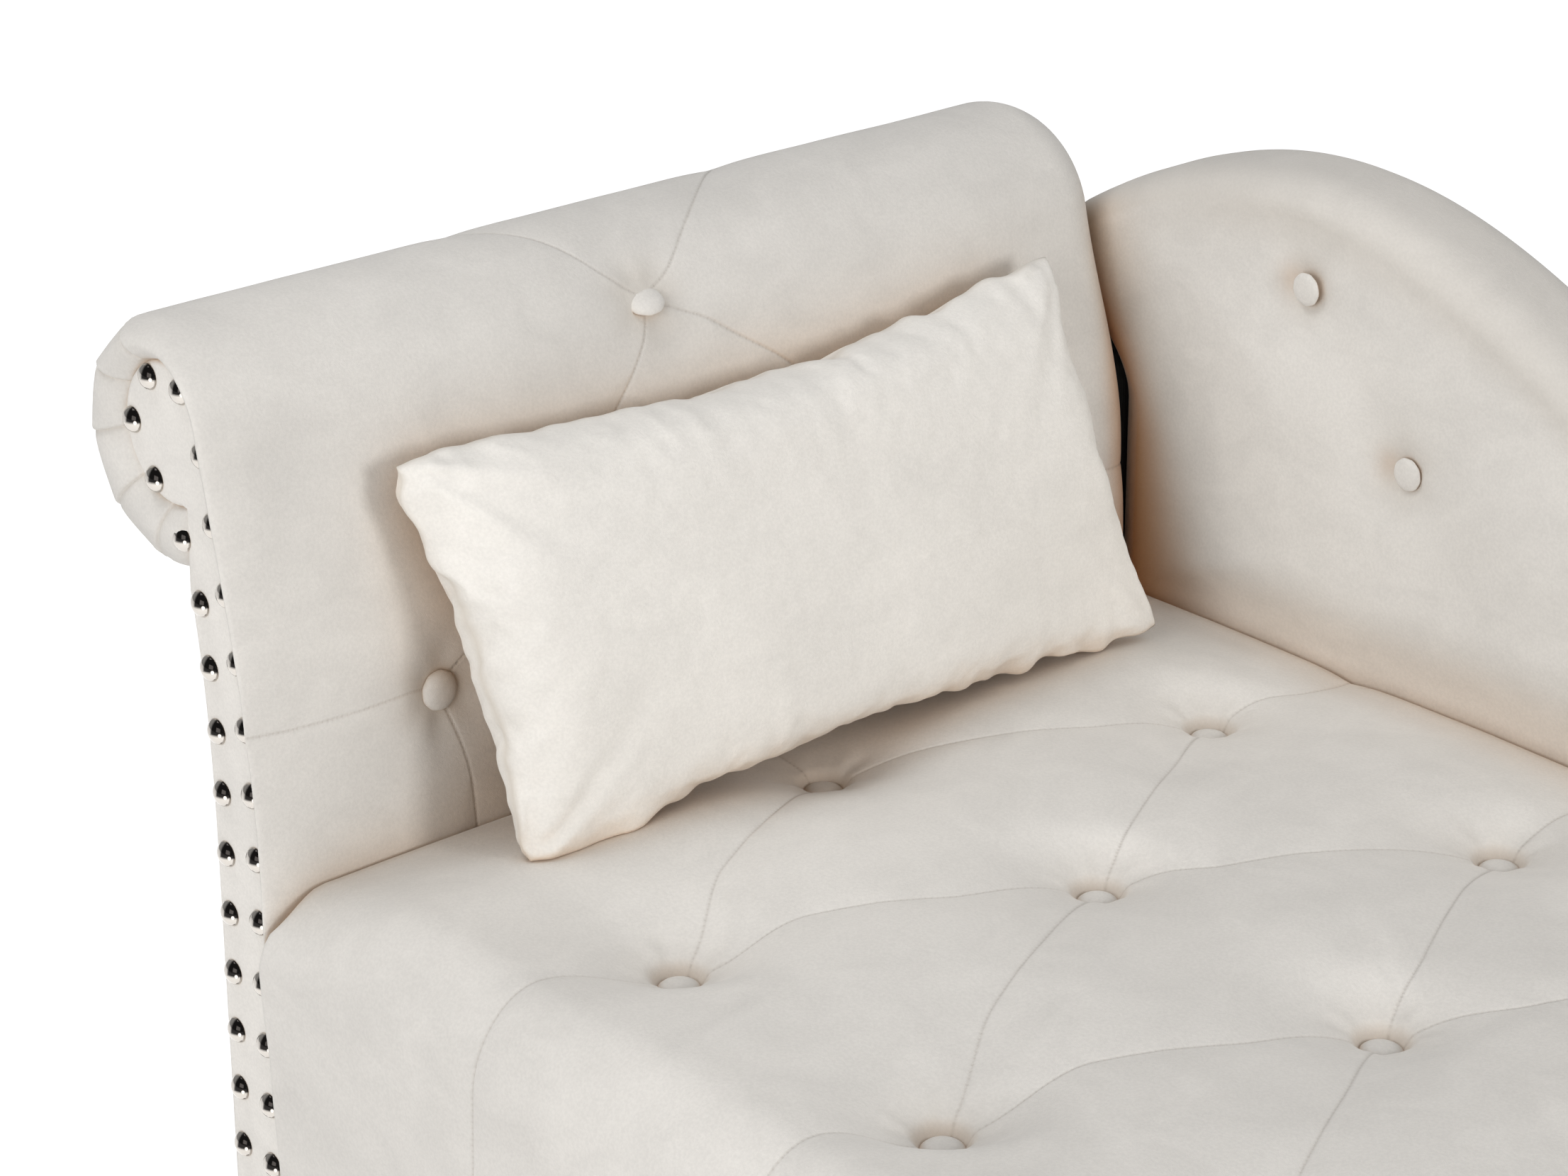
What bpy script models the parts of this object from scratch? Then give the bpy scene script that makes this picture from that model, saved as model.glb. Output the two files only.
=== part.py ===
"""Chaise longue with one rolled arm, a swooping part back, a tufted seat and a loose lumbar pillow.

The design frame has X from the arm's inner face towards the foot end, Y from the arm's
front facing towards the back, and Z up from the floor. Sizes are in metres.
"""

import math

import bmesh
import bpy
from mathutils import Matrix, Vector
from mathutils.bvhtree import BVHTree

# Clearance between touching pieces
GAP = 0.0003

# Seat base
LEG_HEIGHT = 0.110
BASE_HEIGHT = 0.330
SEAT_LENGTH = 1.333
SEAT_DEPTH = 0.712
SEAT_OVERHANG = 0.008
COVER_WALL = 0.010
COVER_TOP = 0.012
EDGE_ROUND = 0.045
CORNER_ROUND = 0.45 * EDGE_ROUND
CORNER_POWER = 4.9
JOIN_ROUND = 0.010
SEAT_CROWN = 0.020
CROWN_REACH = 0.120
FRONT_BULGE = 0.005
BULGE_LEVEL = 0.86
RAIL_THICKNESS = 0.025
FOAM_THICKNESS = 0.100
DECK_THICKNESS = 0.004
DUST_THICKNESS = 0.003
CENTRE_RAIL_HEIGHT = 0.090
SPRING_WIRE = 0.0038
SPRING_COUNT = 3
SPRING_BENDS = 9
SPRING_SWING = 0.022
SPRING_END = 0.0011
BLOCK_SIDE = 0.070
BLOCK_HEIGHT = 0.060

# Seat tufting
TUFT_DEPTH = 0.015
TUFT_SPREAD = 0.025
MID_BUTTONS = 6
HEAD_MARGIN = 0.0888
FOOT_MARGIN = 0.1182
COLUMN_STEP = 0.223
SEAM_DEPTH = 0.0045
DIP_END = 0.01
SETTLE_REACH = 0.066
SETTLE_MIDDLE = ((-0.004, 0.001), (-0.013, 0.022), (-0.011, 0.012), (0, 0), (0, 0), (0, 0))
SETTLE_FRONT = ((0.020, -0.005), (0.021, -0.015), (0, 0), (0, 0), (0, 0))
SETTLE_BACK = ((-0.014, 0.0115), (0.001, 0.006), (0, 0), (0, 0), (0, 0))
SEAM_SPREAD = 0.020

# Covered buttons
BUTTON_RADIUS = 0.0125
BUTTON_HEIGHT = 0.0060
BUTTON_SEAT = 0.0205
BUTTON_FRAME = BUTTON_RADIUS + 0.001

# Legs
LEG_TOP_RADIUS = 0.024
LEG_FOOT_RADIUS = 0.014
LEG_BOLT_LENGTH = 0.035
BOLT_CLEARANCE = 0.0004

# Assembly bolts
BOLT_RADIUS = 0.004
BOLT_HEAD_RADIUS = 0.009
BOLT_HEAD_HEIGHT = 0.005
ARM_BOLT_SPACING = 0.360
BACK_BOLT_SPACING = 0.640

# Rolled arm
ARM_REAR_GAP = 0.001
ARM_PAD = 0.014
ARM_TUCK = 0.050
ARM_WIDTH = 0.058
ROLL_RADIUS = 0.075
ROLL_OUT = 0.103
ROLL_UP = 0.246
ROLL_START = math.radians(15)
ROLL_CREST = math.radians(100)
ROLL_END = math.radians(289)
CORE_RADIUS = 0.043
CORE_OUT = 0.083
CORE_UP = 0.260
ARM_LEAN = 2.07
CORE_BLEND = 0.12
FLARE_POWER = 2.5
FLARE = 0.014
PANEL_THICKNESS = 0.006
RIB_THICKNESS = 0.018
RIB_SETBACK = 0.016
ROLL_RAIL_RADIUS = 0.030
ARM_RAIL_THICKNESS = 0.045
ARM_RAIL_HEIGHT = 0.100
FASCIA_THICKNESS = 0.012
FASCIA_LIP = 0.004
FRONT_ROLL = 0.007
FRONT_SLOPE = 0.012
REAR_ROUND = 0.024
NECK_SHARES = (1.0, 0.8, 0.6, 0.35, 0.0)

# Arm buttons: along the arm, and height above the seat
ARM_TUFT_DEPTH = 0.010
ROLL_TUFT_DEPTH = 0.0045
ARM_TUFT_SPREAD = 0.055
ARM_BUTTON_MID = 0.316
ARM_BUTTON_STEP = 0.184
ARM_BUTTON_UP = 0.087
ARM_BUTTON_ANGLE = math.radians(30)

# Decorative nails
NAIL_RADIUS = 0.008
NAIL_HEIGHT = 0.0052
NAIL_PITCH = 0.0388
NAIL_INNER_PITCH = 0.0405
NAIL_OUTER_INSET = 0.0125
NAIL_INNER_INSET = 0.0112
NAIL_WIRE = 0.0009
NAIL_ARC_RADIUS = 0.0345
NAIL_NECK = (-0.0765, 0.209)
NAIL_OUTER_UPS = (0.165, 0.135, 0.10, 0.06, 0.02, -0.30)
NAIL_INNER_UPS = (0.224, 0.183, 0.142, 0.10, 0.06, 0.02, -0.30)

# Part back
BACK_THICKNESS = 0.080
BACK_LENGTH = 0.950
BACK_PEAK_X = 0.125
BACK_PEAK_UP = 0.3135
BACK_LOW_UP = 0.070
BACK_SWOOP = 0.6226
BACK_DOME = 1.6
BACK_LEFT_LOW = 0.025
BACK_LEFT_TOP = 0.075
BACK_LEFT_START = 0.130
BACK_LEFT_RISE = 0.120
BACK_LEAD = 0.12
POST_TOP = 0.155
BACK_ROUND = 0.030
BACK_CROWN = 0.012
BACK_SWELL = 0.060
BACK_SHOWS = 0.006
BACK_HIDDEN = 0.15
BACK_WRAP = 0.014
BACK_CORNER = 0.035
BACK_BOARD = 0.030
BACK_PANEL = 0.008
BACK_TUCK = 0.050
BACK_TUFT_DEPTH = 0.010
BACK_TUFT_SPREAD = 0.042
BACK_BUTTONS = ((0.141, 0.245), (0.237, 0.149), (0.430, 0.130))
BACK_ROWS = (0.0, 0.2, 0.4, 0.58, 0.74, 0.87, 0.96, 1.0)
POST_ROWS = (0.63, 0.58, 0.4, 0.2, 0.0)

# Lumbar pillow
PILLOW_WIDTH = 0.512
PILLOW_HEIGHT = 0.250
PILLOW_THICKNESS = 0.094
PILLOW_LEAN = math.radians(20)
PILLOW_SKEW = 0.028
PILLOW_FOOT_X = 0.0898
PILLOW_FOOT_Y = 0.123
PILLOW_FOOT_UP = 0.01705
PILLOW_DRAW = 0.012
PILLOW_SEAM = 0.003

# Places that follow from the sizes above
SEAT_Z = LEG_HEIGHT + BASE_HEIGHT
SEAT_FRONT = -SEAT_OVERHANG
SEAT_BACK = SEAT_FRONT + SEAT_DEPTH
SEAT_MID = SEAT_FRONT + SEAT_DEPTH / 2
TUFT_PITCH = (SEAT_LENGTH - HEAD_MARGIN - FOOT_MARGIN) / (MID_BUTTONS - 1)
CAVITY_ROOF = SEAT_Z - TUFT_DEPTH - COVER_TOP
FOAM_FLOOR = CAVITY_ROOF - GAP - FOAM_THICKNESS
DECK_FLOOR = FOAM_FLOOR - GAP - DECK_THICKNESS
RAIL_TOP = DECK_FLOOR - GAP
RAIL_FLOOR = LEG_HEIGHT + DUST_THICKNESS + GAP
BACK_FACE = SEAT_BACK + GAP
ARM_LENGTH = SEAT_BACK - ARM_REAR_GAP
BACK_REAR = BACK_FACE + BACK_THICKNESS
BOARD_FRONT = BACK_REAR - BACK_PANEL - GAP - BACK_BOARD
ROLL_RIM_UP = ROLL_UP + ROLL_RADIUS * math.sin(ROLL_START)
ROLL_NECK_UP = ROLL_UP + ROLL_RADIUS * math.sin(ROLL_END)
ARM_LEAN_SIZE = (ROLL_OUT - ROLL_RADIUS * math.cos(ROLL_START)) / ROLL_RIM_UP**ARM_LEAN

parts = bpy.data.collections.new("chaise_longue")
cutters = bpy.data.collections.new("cutters")


def clear_scene():
    for obj in list(bpy.data.objects):
        bpy.data.objects.remove(obj, do_unlink=True)
    bpy.context.scene.collection.children.link(parts)
    bpy.context.scene.collection.children.link(cutters)
    cutters.hide_render = True


def material(name, colour, roughness, metallic=0.0):
    made = bpy.data.materials.new(name)
    made.use_nodes = True
    shader = made.node_tree.nodes["Principled BSDF"]
    shader.inputs["Base Color"].default_value = (*colour, 1.0)
    shader.inputs["Roughness"].default_value = roughness
    shader.inputs["Metallic"].default_value = metallic
    made.diffuse_color = (*colour, 1.0)
    return made


def add_mesh(name, bm, surface, collection=parts, smooth=True):
    """An object in one of the two collections; a cutter is drawn as wire and never rendered."""
    bmesh.ops.recalc_face_normals(bm, faces=bm.faces)
    mesh = bpy.data.meshes.new(name)
    bm.to_mesh(mesh)
    bm.free()
    if smooth:
        mesh.shade_smooth()
        mesh.set_sharp_from_angle(angle=math.radians(40))
    obj = bpy.data.objects.new(name, mesh)
    obj.parent = origin
    collection.objects.link(obj)
    if surface:
        mesh.materials.append(surface)
    if collection is cutters:
        obj.hide_render = True
        obj.display_type = "WIRE"
    return obj


def box(name, low, high, surface, collection=parts):
    """A plain block between two corners."""
    bm = bmesh.new()
    bmesh.ops.create_cube(bm, size=1.0)
    size = [b - a for a, b in zip(low, high)]
    bmesh.ops.scale(bm, vec=size, verts=bm.verts)
    obj = add_mesh(name, bm, surface, collection, smooth=False)
    obj.location = [(a + b) / 2 for a, b in zip(low, high)]
    return obj


def lathe(name, profile, place, axis, surface, steps=12):
    """A turned piece: the profile's (radius, height) points run down its outer side."""
    mesh = bpy.data.meshes.new(name)
    points = [(radius, 0.0, height) for radius, height in profile]
    mesh.from_pydata(points, [(i, i + 1) for i in range(len(points) - 1)], [])
    obj = bpy.data.objects.new(name, mesh)
    parts.objects.link(obj)
    obj.parent = origin
    turn = obj.modifiers.new("turned", "SCREW")
    turn.steps = steps
    turn.render_steps = steps
    turn.use_merge_vertices = True
    turn.merge_threshold = 0.00005
    turn.use_smooth_shade = True
    obj.location = place
    obj.rotation_euler = Vector(axis).to_track_quat("Z", "Y").to_euler()
    mesh.materials.append(surface)
    return obj


def cylinder_cutter(name, start, end):
    """The bore for a bolt, with its clearance."""
    bm = bmesh.new()
    span = Vector(end) - Vector(start)
    radius = BOLT_RADIUS + BOLT_CLEARANCE
    bmesh.ops.create_cone(
        bm, cap_ends=True, segments=12, radius1=radius, radius2=radius, depth=span.length
    )
    obj = add_mesh(name, bm, None, cutters)
    obj.location = (Vector(start) + Vector(end)) / 2
    obj.rotation_euler = span.to_track_quat("Z", "Y").to_euler()
    return obj


def cut(obj, cutter):
    hole = obj.modifiers.new("cut_" + cutter.name, "BOOLEAN")
    hole.operation = "DIFFERENCE"
    hole.object = cutter
    return hole


def lattice(name, stations, place, surface, merge_flats=True):
    """A closed block of quads: each of its lattice points goes where place(u, v, w) puts it."""
    bm = bmesh.new()
    bmesh.ops.create_cube(bm, size=1.0)
    for axis, line in enumerate(stations):
        along = [
            edge
            for edge in bm.edges
            if abs(edge.verts[0].co[axis] - edge.verts[1].co[axis]) > 0.5
        ]
        bmesh.ops.subdivide_edges(bm, edges=along, cuts=len(line) - 2, use_grid_fill=True)
    for vert in bm.verts:
        index = [round((c + 0.5) * (len(line) - 1)) for c, line in zip(vert.co, stations)]
        vert.co = place(*[line[i] for i, line in zip(index, stations)])
    if merge_flats:
        bmesh.ops.dissolve_limit(
            bm, angle_limit=math.radians(0.002), verts=bm.verts, edges=bm.edges
        )
    bmesh.ops.triangulate(bm, faces=bm.faces)
    return add_mesh(name, bm, surface)


def outline_solid(name, points, y_low, y_high, surface, collection=parts):
    """A flat outline in the XZ plane: a filled 2D curve extruded from y_low to y_high."""
    curve = bpy.data.curves.new(name, "CURVE")
    curve.dimensions = "2D"
    curve.fill_mode = "BOTH"
    curve.extrude = (y_high - y_low) / 2
    spline = curve.splines.new("POLY")
    spline.points.add(len(points) - 1)
    for point, (x, z) in zip(spline.points, points):
        point.co = (x, z, 0.0, 1.0)
    spline.use_cyclic_u = True
    sketch = bpy.data.objects.new(name + "_sketch", curve)
    bpy.context.scene.collection.objects.link(sketch)
    return solid_from_curve(
        sketch,
        name,
        Matrix.Translation((0, (y_low + y_high) / 2, 0)) @ Matrix.Rotation(math.pi / 2, 4, "X"),
        surface,
        collection,
    )


def solid_from_curve(sketch, name, matrix, surface, collection=parts):
    bpy.context.view_layer.update()
    graph = bpy.context.evaluated_depsgraph_get()
    mesh = bpy.data.meshes.new_from_object(sketch.evaluated_get(graph))
    bpy.data.objects.remove(sketch)
    bm = bmesh.new()
    bm.from_mesh(mesh)
    bpy.data.meshes.remove(mesh)
    bmesh.ops.remove_doubles(bm, verts=bm.verts, dist=0.00001)
    bmesh.ops.transform(bm, matrix=matrix, verts=bm.verts)
    return add_mesh(name, bm, surface, collection)


def wire(name, points, radius, surface):
    """A bent wire of one thickness through the points, with closed ends."""
    curve = bpy.data.curves.new(name, "CURVE")
    curve.dimensions = "3D"
    curve.bevel_depth = radius
    curve.bevel_resolution = 0
    curve.use_fill_caps = True
    spline = curve.splines.new("POLY")
    spline.points.add(len(points) - 1)
    for point, place in zip(spline.points, points):
        point.co = (*place, 1.0)
    sketch = bpy.data.objects.new(name + "_sketch", curve)
    bpy.context.scene.collection.objects.link(sketch)
    return solid_from_curve(sketch, name, Matrix.Identity(4), surface)


def spread(low, high, count):
    return [low + (high - low) * i / (count - 1) for i in range(count)]


def dip(distance, flat, fall):
    """How deep a stitched point still draws the cover, from 1 under the button to 0 far from it."""
    draw = math.exp(-((max(0.0, distance - flat) / fall) ** 2))
    return max(0.0, draw - DIP_END) / (1.0 - DIP_END)


def segment_distance(x, y, start, end):
    ax, ay = start
    bx, by = end
    length = (bx - ax) ** 2 + (by - ay) ** 2
    share = max(0.0, min(1.0, ((x - ax) * (bx - ax) + (y - ay) * (by - ay)) / length))
    return math.hypot(x - ax - share * (bx - ax), y - ay - share * (by - ay))


def seat_buttons():
    """Where the seat's buttons are: the middle row, then the front and back rows between it."""
    middle = [(HEAD_MARGIN + i * TUFT_PITCH, SEAT_MID) for i in range(MID_BUTTONS)]
    sides = []
    for row in (-1, 1):
        for i in range(MID_BUTTONS - 1):
            sides.append((HEAD_MARGIN + (i + 0.5) * TUFT_PITCH, SEAT_MID + row * COLUMN_STEP))
    return middle + sides


def seat_seams():
    """The sewn lines between buttons, and those that run from the outer buttons to the edges."""
    buttons = seat_buttons()
    seams = []
    for i, (ax, ay) in enumerate(buttons):
        for bx, by in buttons[i + 1 :]:
            beside = abs(abs(ax - bx) - TUFT_PITCH / 2) < GAP
            if beside and abs(abs(ay - by) - COLUMN_STEP) < GAP:
                seams.append(((ax, ay), (bx, by)))
    for bx, by in buttons[MID_BUTTONS:]:
        seams.append(((bx, by), (bx, SEAT_FRONT if by < SEAT_MID else SEAT_BACK)))
    seams.append((buttons[0], (0.0, SEAT_MID)))
    seams.append((buttons[MID_BUTTONS - 1], (SEAT_LENGTH, SEAT_MID)))
    return seams


def edge_share(distance, radius):
    return max(0.0, min(1.0, (radius - distance) / radius))


def crown_share(distance):
    """How far the padding has risen at a distance from the arm's or the back's foot."""
    share = max(0.0, min(1.0, distance / CROWN_REACH))
    return share * share * (3 - 2 * share)


def seat_top(x, y):
    """Height of the tufted seat cover over a point of its plan."""
    tuft = max(
        dip(math.hypot(x - bx, y - by), BUTTON_SEAT, TUFT_SPREAD) for bx, by in SEAT_BUTTONS
    )
    seam = max(dip(segment_distance(x, y, a, b), 0.0, SEAM_SPREAD) for a, b in SEAT_SEAMS)
    crown = SEAT_CROWN * crown_share(x) * crown_share(SEAT_BACK - y)
    along = max(
        (edge_share(x, JOIN_ROUND), JOIN_ROUND),
        (edge_share(SEAT_LENGTH - x, EDGE_ROUND), EDGE_ROUND),
    )
    across = max(
        (edge_share(y - SEAT_FRONT, EDGE_ROUND), EDGE_ROUND),
        (edge_share(SEAT_BACK - y, JOIN_ROUND), JOIN_ROUND),
    )
    power = along[0] ** CORNER_POWER + across[0] ** CORNER_POWER
    share = min(1.0, power ** (1 / CORNER_POWER))
    radius = 0.0
    if share > 0:
        radius = (along[0] * along[1] + across[0] * across[1]) / (along[0] + across[0])
    rounding = radius * (1 - math.sqrt(1 - share * share))
    return SEAT_Z + (crown - SEAM_DEPTH * seam) * (1 - tuft) - TUFT_DEPTH * tuft - rounding


def seat_stations(low, high, centres, half, between, ends):
    """Grid lines that frame each button with two lines and leave some between them."""
    low_ends, high_ends = ends
    lines = [low + e for e in low_ends]
    previous = lines[-1]
    for centre in sorted(centres):
        for step in range(1, between + 1):
            lines.append(previous + (centre - half - previous) * step / (between + 1))
        lines += [centre - half, centre + half]
        previous = centre + half
    last = high - high_ends[-1]
    for step in range(1, between + 1):
        lines.append(previous + (last - previous) * step / (between + 1))
    return lines + [high - e for e in reversed(high_ends)]


def settled(x, y):
    """Where hand tufting leaves a point of the seat's regular plan: each button keeps its nudge."""
    moved_x, moved_y = x, y
    nudges = SETTLE_MIDDLE + SETTLE_FRONT + SETTLE_BACK
    for (bx, by), (nudge_x, nudge_y) in zip(SEAT_BUTTONS, nudges):
        away = max(0.0, math.hypot(x - bx, y - by) - BUTTON_SEAT)
        share = max(0.0, 1 - away / SETTLE_REACH)
        share = share * share * (3 - 2 * share)
        moved_x += nudge_x * share
        moved_y += nudge_y * share
    return moved_x, moved_y


def rounding_lines(radius):
    return [0.0, 0.12 * radius, 0.45 * radius, radius]


def rounded_corner(x, y):
    """The plan of the foot end's front corner, its square grid turned into a quarter circle."""
    far_x = (x - SEAT_LENGTH) / CORNER_ROUND + 1
    far_y = (SEAT_FRONT - y) / CORNER_ROUND + 1
    if far_x <= 0 or far_y <= 0:
        return x, y
    x += CORNER_ROUND * far_x * (math.sqrt(1 - far_y * far_y / 2) - 1)
    y -= CORNER_ROUND * far_y * (math.sqrt(1 - far_x * far_x / 2) - 1)
    return x, y


def build_seat_cover(velvet):
    """The one-piece seat cover: a tufted top with its walls down to the base's lower edge."""
    xs = seat_stations(
        GAP,
        SEAT_LENGTH,
        [HEAD_MARGIN + i * TUFT_PITCH / 2 for i in range(2 * MID_BUTTONS - 1)],
        BUTTON_FRAME,
        1,
        ([0.0, JOIN_ROUND], rounding_lines(EDGE_ROUND)),
    )
    ys = seat_stations(
        SEAT_FRONT,
        SEAT_BACK,
        [SEAT_MID + row * COLUMN_STEP for row in (-1, 0, 1)],
        BUTTON_FRAME,
        3,
        (rounding_lines(EDGE_ROUND), [0.0, JOIN_ROUND]),
    )

    def place(x, y, level):
        x, y = rounded_corner(x, y)
        top = seat_top(x, y)
        if level == BULGE_LEVEL:
            y -= FRONT_BULGE * edge_share(y - SEAT_FRONT, EDGE_ROUND)
        if level == 1.0:
            x, y = settled(x, y)
        return (x, y, LEG_HEIGHT + level * (top - LEG_HEIGHT))

    cover = lattice("seat_cover", (xs, ys, [0.0, BULGE_LEVEL, 1.0]), place, velvet)
    hollow = box(
        "seat_hollow",
        (COVER_WALL, SEAT_FRONT + COVER_WALL, LEG_HEIGHT - COVER_WALL),
        (SEAT_LENGTH - COVER_WALL, SEAT_BACK - COVER_WALL, CAVITY_ROOF),
        None,
        collection=cutters,
    )
    cut(cover, hollow)
    return cover


def build_button(name, place, axis, velvet):
    """A covered button: a shallow dome whose back lies on the drawn-in cover."""
    r, h = BUTTON_RADIUS, BUTTON_HEIGHT
    profile = [(0.0, h), (0.55 * r, 0.86 * h), (0.92 * r, 0.50 * h)]
    profile += [(r, 0.22 * h), (0.88 * r, 0.0), (0.0, 0.0)]
    lift = Vector(axis).normalized() * GAP
    return lathe(name, profile, Vector(place) + lift, axis, velvet)


def build_seat_inside(timber, leg_wood, foam, steel, cloth):
    """The foam, deck, springs, rails, corner blocks and legs under the seat cover."""
    low_x, high_x = COVER_WALL + GAP, SEAT_LENGTH - COVER_WALL - GAP
    low_y, high_y = SEAT_FRONT + COVER_WALL + GAP, SEAT_BACK - COVER_WALL - GAP
    in_y = (low_y + RAIL_THICKNESS + GAP, high_y - RAIL_THICKNESS - GAP)

    def layer(name, floor, top, surface):
        return box(name, (low_x, low_y, floor), (high_x, high_y, top), surface)

    def rail(name, x_low, y_low, x_high, y_high, top=RAIL_TOP):
        return box(name, (x_low, y_low, RAIL_FLOOR), (x_high, y_high, top), timber)

    layer("seat_foam", FOAM_FLOOR, CAVITY_ROOF - GAP, foam)
    layer("spring_deck", DECK_FLOOR, DECK_FLOOR + DECK_THICKNESS, cloth)
    dust = layer("dust_cover", LEG_HEIGHT, LEG_HEIGHT + DUST_THICKNESS, cloth)
    rail("front_rail", low_x, low_y, high_x, low_y + RAIL_THICKNESS)
    rear = rail("rear_rail", low_x, high_y - RAIL_THICKNESS, high_x, high_y)
    head = rail("head_rail", low_x, in_y[0], low_x + RAIL_THICKNESS, in_y[1])
    rail("foot_rail", high_x - RAIL_THICKNESS, in_y[0], high_x, in_y[1])
    middle = (low_x + high_x - RAIL_THICKNESS) / 2
    centre_top = RAIL_FLOOR + CENTRE_RAIL_HEIGHT
    rail("centre_rail", middle, in_y[0], middle + RAIL_THICKNESS, in_y[1], centre_top)
    build_springs(low_x, high_x, in_y, steel)
    build_legs(low_x, high_x, in_y, dust, leg_wood, timber)
    return head, rear


def build_springs(low_x, high_x, span, steel):
    """Sinuous springs from the front rail to the rear one, just under the deck."""
    level = RAIL_TOP - SPRING_WIRE / 2
    ends = (span[0] + SPRING_END, span[1] - SPRING_END)
    for i in range(SPRING_COUNT):
        x = low_x + (high_x - low_x) * (i + 0.5) / SPRING_COUNT
        points = []
        steps = SPRING_BENDS * 4
        for step in range(steps + 1):
            share = step / steps
            swing = SPRING_SWING * math.sin(math.pi * SPRING_BENDS * share)
            points.append((x + swing, ends[0] + (ends[1] - ends[0]) * share, level))
        wire(f"sinuous_spring_{i + 1}", points, SPRING_WIRE / 2, steel)


def build_legs(low_x, high_x, span, dust, leg_wood, timber):
    """Turned legs with their hanger bolts, each in the bore of a corner block."""
    left = low_x + RAIL_THICKNESS + GAP
    right = high_x - RAIL_THICKNESS - GAP - BLOCK_SIDE
    front = span[0]
    back = span[1] - BLOCK_SIDE
    corners = {
        "head_front": (left, front),
        "head_back": (left, back),
        "foot_front": (right, front),
        "foot_back": (right, back),
    }
    for name, (x, y) in corners.items():
        block = box(
            "corner_block_" + name,
            (x, y, RAIL_FLOOR),
            (x + BLOCK_SIDE, y + BLOCK_SIDE, RAIL_FLOOR + BLOCK_HEIGHT),
            timber,
        )
        centre = (x + BLOCK_SIDE / 2, y + BLOCK_SIDE / 2)
        bore = cylinder_cutter(
            "leg_bore_" + name,
            (*centre, LEG_HEIGHT - LEG_BOLT_LENGTH),
            (*centre, LEG_HEIGHT + LEG_BOLT_LENGTH + BOLT_CLEARANCE),
        )
        cut(block, bore)
        cut(dust, bore)
        top = LEG_HEIGHT - GAP
        profile = [
            (0.0, top + LEG_BOLT_LENGTH),
            (BOLT_RADIUS, top + LEG_BOLT_LENGTH),
            (BOLT_RADIUS, top),
            (LEG_TOP_RADIUS, top),
            (LEG_FOOT_RADIUS, 0.0),
            (0.0, 0.0),
        ]
        lathe("leg_" + name, profile, (*centre, 0.0), (0, 0, 1), leg_wood, steps=16)


def face_x(up):
    """X of the arm's inner face at a height above the seat: upright, then leaning out to the roll."""
    return -ARM_LEAN_SIZE * max(0.0, up) ** ARM_LEAN


def outer_x(up):
    """X of the arm's outer face at a height above the seat."""
    return -ARM_WIDTH - FLARE * max(0.0, up / ROLL_NECK_UP) ** FLARE_POWER


def roll_point(angle):
    return (-ROLL_OUT + ROLL_RADIUS * math.cos(angle), ROLL_UP + ROLL_RADIUS * math.sin(angle))


def core_point(angle, shrink=0.0):
    radius = CORE_RADIUS - shrink
    return (-CORE_OUT + radius * math.cos(angle), CORE_UP + radius * math.sin(angle))


def arm_stations():
    """The arm's section lines: heights up its inner face, then angles round its roll."""
    face = [-ARM_TUCK, 0.0, 0.42 * ARM_BUTTON_UP, ARM_BUTTON_UP - BUTTON_FRAME]
    face += [ARM_BUTTON_UP + BUTTON_FRAME, 0.135, 0.175, 0.215, 0.245, ROLL_RIM_UP]
    angles = [ARM_BUTTON_ANGLE + BUTTON_FRAME / ROLL_RADIUS]
    angles += [math.radians(a) for a in range(58, 271, 18)] + [ROLL_END]
    return [("face", up) for up in face] + [("roll", a) for a in angles]


def arm_outside(kind, value):
    """Section point of the pad's outer surface, and its outward normal."""
    if kind == "roll":
        x, up = roll_point(value)
        return x, up, math.cos(value), math.sin(value)
    slope = ARM_LEAN * ARM_LEAN_SIZE * max(0.0, value) ** (ARM_LEAN - 1)
    size = math.hypot(1.0, slope)
    return face_x(value), value, 1.0 / size, slope / size


def arm_inside(kind, value, inset):
    """Section point of the pad's inner surface, an inset from the face that meets the round core."""
    if kind == "roll":
        return core_point(value)
    x, up, out_x, out_up = arm_outside(kind, value)
    share = max(0.0, (value - CORE_BLEND) / (ROLL_RIM_UP - CORE_BLEND))
    share = share * share * (3 - 2 * share)
    core_x, core_up = core_point(ROLL_START)
    rim_x, rim_up = roll_point(ROLL_START)
    keep = inset * (1 - share)
    return (
        x - out_x * keep + share * (core_x - rim_x),
        up - out_up * keep + share * (core_up - rim_up),
    )


def arm_buttons():
    """(along, section kind, section value, depth) of the arm's three covered buttons."""
    return (
        (ARM_BUTTON_MID, "roll", ARM_BUTTON_ANGLE, ROLL_TUFT_DEPTH),
        (ARM_BUTTON_MID - ARM_BUTTON_STEP, "face", ARM_BUTTON_UP, ARM_TUFT_DEPTH),
        (ARM_BUTTON_MID + ARM_BUTTON_STEP, "face", ARM_BUTTON_UP, ARM_TUFT_DEPTH),
    )


def section_length(kind, value):
    """Rough length along the arm's section, from the seat up the face and round the roll."""
    if kind == "roll":
        return ROLL_RIM_UP + (value - ROLL_START) * ROLL_RADIUS
    return value


def arm_seams():
    """The sewn lines of the arm in its unrolled section: (along, length) pairs."""
    top, low, high = [(b[0], section_length(b[1], b[2])) for b in arm_buttons()]
    crest = section_length("roll", ROLL_CREST)
    reach = ARM_BUTTON_STEP * 0.75
    return [
        (top, low),
        (top, high),
        (top, (top[0] - reach, crest)),
        (top, (top[0] + reach, crest)),
        (low, (0.0, low[1])),
        (high, (ARM_LENGTH, high[1])),
        (low, (low[0] + ARM_BUTTON_STEP * 0.2, 0.0)),
        (high, (high[0] - ARM_BUTTON_STEP * 0.2, 0.0)),
    ]


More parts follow.
